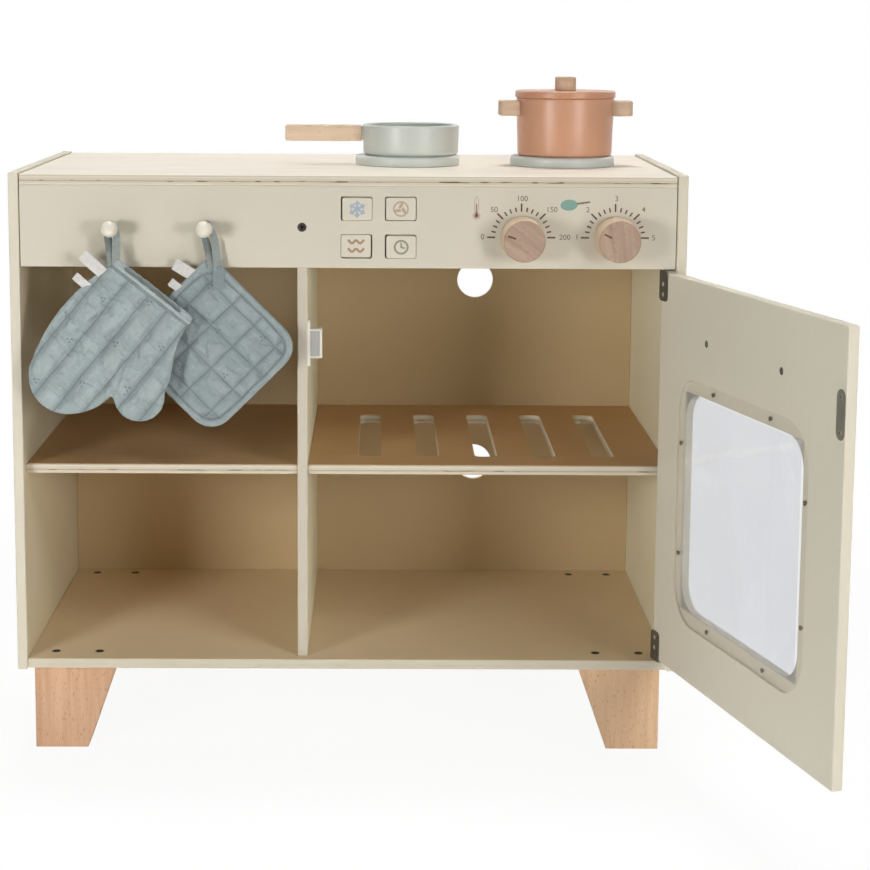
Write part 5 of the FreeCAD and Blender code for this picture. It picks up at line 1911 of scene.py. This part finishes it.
@dataclass
class PotHolder(Quilt):
    """The square pot holder with its bound edge, strap and labels."""

    centre: tuple[float, float] = (-121.5, 376.0)
    side: float = 116.0
    corner: float = 22.0
    top_corner: float = 8.0
    binding: float = 2.9
    thin_edge: float = 2.4
    tab: tuple[float, float, float, float] = (-114.0, 437.0, 10.4, 21.0)
    tab_thick: float = 0.6

    def inset(self, x: float, z: float) -> float:
        """Return how far a point is inside the rounded outline."""
        dx, dz = x - self.centre[0], z - self.centre[1]
        corner = self.top_corner if dz > self.side * 0.5 else self.corner
        flat = self.side / 2 - corner
        a = abs(dx + dz) / math.sqrt(2) - flat
        b = abs(dz - dx) / math.sqrt(2) - flat
        return corner - math.hypot(max(a, 0.0), max(b, 0.0)) - min(max(a, b), 0.0)

    def depth(self, x: float, z: float) -> float:
        """Return the half thickness: thin at the bound edge, and let in under the tab."""
        share = min(max((self.inset(x, z) - 2.0) / 8.0, 0.0), 1.0)
        full = self.thin_edge + 1.9 * share * share * (3 - 2 * share)
        tab_x, tab_z, wide, high = self.tab
        if abs(x - tab_x) < wide / 2 + 0.8 and abs(z - tab_z) < high / 2 + 0.8:
            full = min(full, 3.4)
        return full

    def held(self, x: float, y: float, z: float) -> float:
        """Return how firmly a point is held: along both sets of rows and at the edge."""
        dx, dz = x - self.centre[0], z - self.centre[1]
        if max(abs(dx + dz), abs(dz - dx)) / math.sqrt(2) > self.side / 2 - 4.0:
            return 1.0
        return max(0.0, 1.0 - self.sewn(x, z)[0] / 1.8)

    def sewn(self, x: float, z: float) -> tuple[float, float]:
        """Return the gap to the nearest row of either set, and the place along it."""
        dx, dz = x - self.centre[0], z - self.centre[1]
        along, across = (dx + dz) / math.sqrt(2), (dz - dx) / math.sqrt(2)
        gaps = [abs((place / self.pitch) % 1.0 - 0.5) * self.pitch for place in (along, across)]
        return (gaps[0], across) if gaps[0] < gaps[1] else (gaps[1], along)

    def flat(self, x: float, z: float) -> float:
        """Return how much of the quilting shows: less at the edge, none under the tab."""
        tab_x, tab_z, wide, high = self.tab
        if abs(x - tab_x) < wide / 2 + 0.8 and abs(z - tab_z) < high / 2 + 0.8:
            return 0.0
        return min(max((self.inset(x, z) - 4.0) / 6.0, 0.0), 1.0)

    def build(self, tape: bpy.types.Material, label: bpy.types.Material) -> None:
        """Pad the holder, bind its edge and add its strap, tab and labels."""
        middle = at(self.centre[0], self.middle, self.centre[1])
        look = Quilting(
            "cotton_holder",
            middle,
            -math.pi / 4,
            self.pitch * MM,
            True,
            tint(160, 172, 172),
            half_side=self.side / 2 * MM,
        ).make()
        piece = self.pad("holder_quilted")
        Bench.fit(piece, self.body, "cotton", look, self.node)
        Bench.fit(self.bind(), self.body, "cotton", tape)
        tab_look = Cotton("cotton_tab", tint(144, 155, 155), tint(124, 135, 135)).make()
        Bench.fit(self.sewn_tab(), self.body, "cotton_tape", tab_look)
        strap = Strap(
            "holder_strap",
            "pot_holder_loop",
            self.body,
            (-125.4, CONTROL_HEIGHT),
            (-120.0, 446.0),
            (-114.6, 444.0),
            -6.0,
            -8.6,
            half_width=3.8,
        )
        shade = at(-121.5, 0, 456)
        pale, deep = tint(160, 168, 164), tint(136, 145, 143)
        strap.build(Cotton("cotton_holder_strap", pale, deep, inner=shade).make())
        for name, start, end, width in (
            ("holder_label_large", (-134.5, -6.4, 438.5), (-153.0, -7.6, 449.5), 10.4),
            ("holder_label_small", (-144.5, -6.4, 424.5), (-157.0, -7.4, 434.0), 7.4),
        ):
            Label(name, self.body, start, end, width, piece.name).build(label)

    def sewn_tab(self) -> Piece:
        """Return the strap's sewn end: a flat tab with a round foot on the pad's front."""
        x, z, wide, high = self.tab
        Bench.clear()
        bpy.ops.mesh.primitive_cube_add(size=1, scale=Vector((wide, self.tab_thick, high)) * MM)
        piece = Bench.added("holder_tab")
        bpy.ops.object.mode_set(mode="EDIT")
        foot = -high / 2 * MM
        Bench.pick_edges(
            piece,
            lambda edge: all(abs(v.co.z - foot) < 1e-5 for v in edge.verts)
            and abs(edge.verts[0].co.x - edge.verts[1].co.x) < 1e-5,
        )
        bpy.ops.mesh.bevel(offset=wide * 0.47 * MM, segments=8, affect="EDGES")
        Bench.clear()
        Bench.ease(piece, 0.25, 2, 50.0)
        Bench.smooth(piece)
        return Bench.settle(piece, at(x, self.middle - 3.4 - self.tab_thick / 2, z))

    def bind(self) -> Piece:
        """Return the bound edge: a tape folded round the pad's outline."""
        Bench.clear()
        size = (self.side - self.binding * 2) * MM
        bpy.ops.mesh.primitive_plane_add(size=size, rotation=(math.pi / 2, 0, 0))
        edge = Bench.added("holder_binding")
        Bench.settle(edge, Vector(), (0, math.pi / 4, 0))
        bpy.ops.object.mode_set(mode="EDIT")
        bpy.ops.mesh.select_mode(type="VERT")
        for top, radius in ((False, self.corner), (True, self.top_corner)):
            mesh = bmesh.from_edit_mesh(edge.data)
            peak = max(vertex.co.z for vertex in mesh.verts)
            bpy.ops.mesh.select_all(action="DESELECT")
            mesh = bmesh.from_edit_mesh(edge.data)
            for vertex in mesh.verts:
                corner = vertex.co.length > size * 0.7
                vertex.select_set(corner and (vertex.co.z > peak - 1e-5) == top)
            mesh.select_flush_mode()
            bmesh.update_edit_mesh(edge.data)
            bpy.ops.mesh.bevel(offset=radius * MM, segments=9, affect="VERTICES")
        bpy.ops.mesh.select_all(action="SELECT")
        bpy.ops.mesh.delete(type="ONLY_FACE")
        Bench.only(edge)
        bpy.ops.object.convert(target="CURVE")
        edge.data.bevel_depth = self.binding * MM
        edge.data.bevel_resolution = 5
        bpy.ops.object.convert(target="MESH")
        edge.scale = (1.0, 0.95, 1.0)
        Bench.settle(edge, at(self.centre[0], self.middle, self.centre[1]))
        return Bench.smooth(edge, 60.0)


@dataclass(frozen=True)
class Lamp:
    """A square soft lamp: degrees round from the front and up, metres, watts and its beam in degrees."""

    name: str
    around: float
    above: float
    distance: float
    power: float
    size: float
    beam: float = 180.0

    def hang(self, target: Vector) -> None:
        """Hang the lamp so that it looks at a target."""
        side, rise = math.radians(self.around), math.radians(self.above)
        way = Vector((math.sin(side) * math.cos(rise), -math.cos(side) * math.cos(rise), math.sin(rise)))
        data = bpy.data.lights.new(self.name, "AREA")
        data.size, data.energy = self.size, self.power
        data.spread = math.radians(self.beam)
        lamp = bpy.data.objects.new(self.name, data)
        lamp.location = target + way * self.distance
        lamp.rotation_euler = (-way).to_track_quat("-Z", "Y").to_euler()
        bpy.context.scene.collection.objects.link(lamp)


@dataclass
class Studio:
    """The pale floor, the soft lamps and the camera."""

    camera_place: Place = (28.3373, -1687.3493, 654.9605)
    yaw: float = 0.0052
    pitch: float = 0.1347
    roll: float = 0.0055
    focal: float = 1919.316
    middle: tuple[float, float] = (390.0, 290.0)
    image: float = 870.0
    lamps: tuple[Lamp, ...] = (
        Lamp("lamp_left", -37.6, 9.0, 1.45, 8.2, 0.34),
        Lamp("lamp_right", 35.0, 8.0, 1.7, 8.0, 0.4),
        Lamp("lamp_right_high", 45.0, 40.0, 2.6, 9.5, 0.8),
        Lamp("lamp_above", 180.0, 78.0, 2.6, 3.1, 1.2, beam=24.0),
        Lamp("lamp_back_left", -140.0, 30.0, 2.6, 8.5, 0.8),
        Lamp("lamp_back_right", 140.0, 30.0, 2.6, 8.5, 0.8),
    )

    def build(self) -> None:
        """Set the floor, the world, the lamps and the camera."""
        self.floor()
        self.world()
        target = at(0, 60, 300)
        for lamp in self.lamps:
            lamp.hang(target)
        self.camera()
        bpy.context.scene.view_settings.view_transform = "Standard"

    def floor(self) -> None:
        """Lay a wide white floor that keeps a soft shadow."""
        Bench.clear()
        bpy.ops.mesh.primitive_plane_add(size=14, location=(0, 0, 0))
        piece = Bench.added("studio_floor")
        bpy.ops.object.mode_set(mode="EDIT")
        bpy.ops.mesh.subdivide(number_cuts=3)
        Bench.clear()
        recipe = Recipe("floor_white")
        spot = recipe.place()
        cloud = recipe.noise(spot, 3.0, 2.0)
        colour = recipe.mix(cloud, tint(246, 246, 245), tint(250, 250, 249))
        diffuse = recipe.node("ShaderNodeBsdfDiffuse", inputs={"Color": colour})
        glow = recipe.node("ShaderNodeEmission", inputs={"Color": (1, 1, 1, 1), "Strength": 1.0})
        path = recipe.node("ShaderNodeLightPath", output="Is Camera Ray")
        outputs = path.socket.node.outputs
        seen = path + Signal(recipe, outputs["Is Glossy Ray"])
        seen = seen + Signal(recipe, outputs["Is Transmission Ray"])
        far = recipe.node("ShaderNodeVectorMath", {"operation": "LENGTH"}, {0: spot}, output="Value")
        share = far.rise(0.3, 1.2) * 0.08 + 0.92
        mixed = recipe.node(
            "ShaderNodeMixShader", inputs={0: seen.math("MINIMUM", 1.0) * share, 1: diffuse, 2: glow}
        )
        output = recipe.tree.nodes.new("ShaderNodeOutputMaterial")
        recipe.tree.links.new(mixed.socket, output.inputs["Surface"])
        piece.data.materials.append(recipe.material)

    def world(self) -> None:
        """Light the room softly; seen directly, it is white."""
        world = bpy.data.worlds.new("studio_world")
        bpy.context.scene.world = world
        world.use_nodes = True
        tree = world.node_tree
        tree.nodes.clear()
        path = tree.nodes.new("ShaderNodeLightPath")
        soft = tree.nodes.new("ShaderNodeBackground")
        soft.inputs["Color"].default_value = (0.98, 0.99, 1.0, 1)
        soft.inputs["Strength"].default_value = 0.03
        white = tree.nodes.new("ShaderNodeBackground")
        white.inputs["Color"].default_value = (1, 1, 1, 1)
        mixed = tree.nodes.new("ShaderNodeMixShader")
        output = tree.nodes.new("ShaderNodeOutputWorld")
        total = None
        for name in ("Is Camera Ray", "Is Glossy Ray", "Is Transmission Ray"):
            if total is None:
                total = path.outputs[name]
                continue
            add = tree.nodes.new("ShaderNodeMath")
            add.use_clamp = True
            tree.links.new(total, add.inputs[0])
            tree.links.new(path.outputs[name], add.inputs[1])
            total = add.outputs[0]
        tree.links.new(total, mixed.inputs[0])
        tree.links.new(soft.outputs[0], mixed.inputs[1])
        tree.links.new(white.outputs[0], mixed.inputs[2])
        tree.links.new(mixed.outputs[0], output.inputs["Surface"])

    def camera(self) -> None:
        """Stand the camera where the photograph was taken."""
        data = bpy.data.cameras.new("camera")
        data.sensor_width = 36.0
        data.lens = self.focal / self.image * 36.0
        half = self.image / 2
        data.shift_x = (half - self.middle[0]) / self.image
        data.shift_y = (self.middle[1] - half) / self.image
        data.clip_end = 50.0
        ahead = Vector(
            (
                math.sin(self.yaw) * math.cos(self.pitch),
                math.cos(self.yaw) * math.cos(self.pitch),
                -math.sin(self.pitch),
            )
        )
        right = Vector((math.cos(self.yaw), -math.sin(self.yaw), 0))
        up = right.cross(ahead)
        across = right * math.cos(self.roll) + up * math.sin(self.roll)
        upward = up * math.cos(self.roll) - right * math.sin(self.roll)
        turn = Matrix((across, upward, -ahead)).transposed()
        camera = bpy.data.objects.new("camera", data)
        camera.matrix_world = Matrix.Translation(at(*self.camera_place)) @ turn.to_4x4()
        bpy.context.scene.collection.objects.link(camera)
        bpy.context.scene.camera = camera


def main() -> None:
    """Build the kitchen piece by piece."""
    logging.basicConfig(level=logging.INFO, format="%(name)s %(message)s")
    Studio().build()
    Carcass().build()
    Legs().build()
    sage = TurnedPaint("paint_sage", tint(200, 205, 197), tint(208, 212, 205)).make()
    terracotta = TurnedPaint("paint_terracotta", tint(206, 152, 120), tint(213, 162, 131)).make()
    # painted light: a paler copy of the sage paint for the hob discs, making up for the shade that falls on
    # them
    lit_sage_disc = TurnedPaint("paint_sage_lit_disc", tint(214, 219, 212), tint(220, 224, 218)).make()
    Hob().build(lit_sage_disc)
    Pegs().build()
    Knobs().build()
    Prints().build()
    Pan().build(sage)
    # painted shade: a darker copy of the terracotta for the lid, whose top the lamps light more than the
    # pot's side
    lid = TurnedPaint("paint_lid_shaded", tint(199, 144, 110), tint(205, 152, 120)).make()
    Pot().build(terracotta, lid)
    OvenDoor().build()
    Fittings().build()
    Screws().build()
    tape = Cotton("cotton_tape", tint(162, 172, 170), tint(138, 148, 147)).make()
    label = Cotton("cotton_label", tint(224, 221, 216), tint(200, 196, 192)).make()
    mitt_folds = (
        Fold((-184.0, 383.0), (-183.6, 360.0), 1.5, 1.7),
        Fold((-179.0, 381.0), (-174.4, 360.0), 1.2, 1.7),
        Fold((-194.0, 394.0), (-183.0, 379.0), 0.9, 2.0),
        Fold((-196.5, 363.0), (-205.0, 339.0), 2.6, 2.0),
    )
    holder_folds = (
        Fold((-130.0, 405.0), (-143.0, 369.0), 1.2, 2.4),
        Fold((-146.0, 366.0), (-151.0, 340.0), 1.0, 2.2),
        Fold((-122.0, 398.0), (-118.0, 380.0), 0.8, 2.0),
    )
    Mitt("mitt", "mitt", -17.8, (-27.5, -10.35), folds=mitt_folds).build(label)
    holder = PotHolder(
        "pot_holder",
        "pot_holder",
        -5.6,
        (-10.0, -1.4),
        swell=1.4,
        pitch=27.0,
        sink=1.5,
        pucker=0.4,
        crumple=0.9,
        folds=holder_folds,
    )
    holder.build(tape, label)


if __name__ == "__main__":
    main()
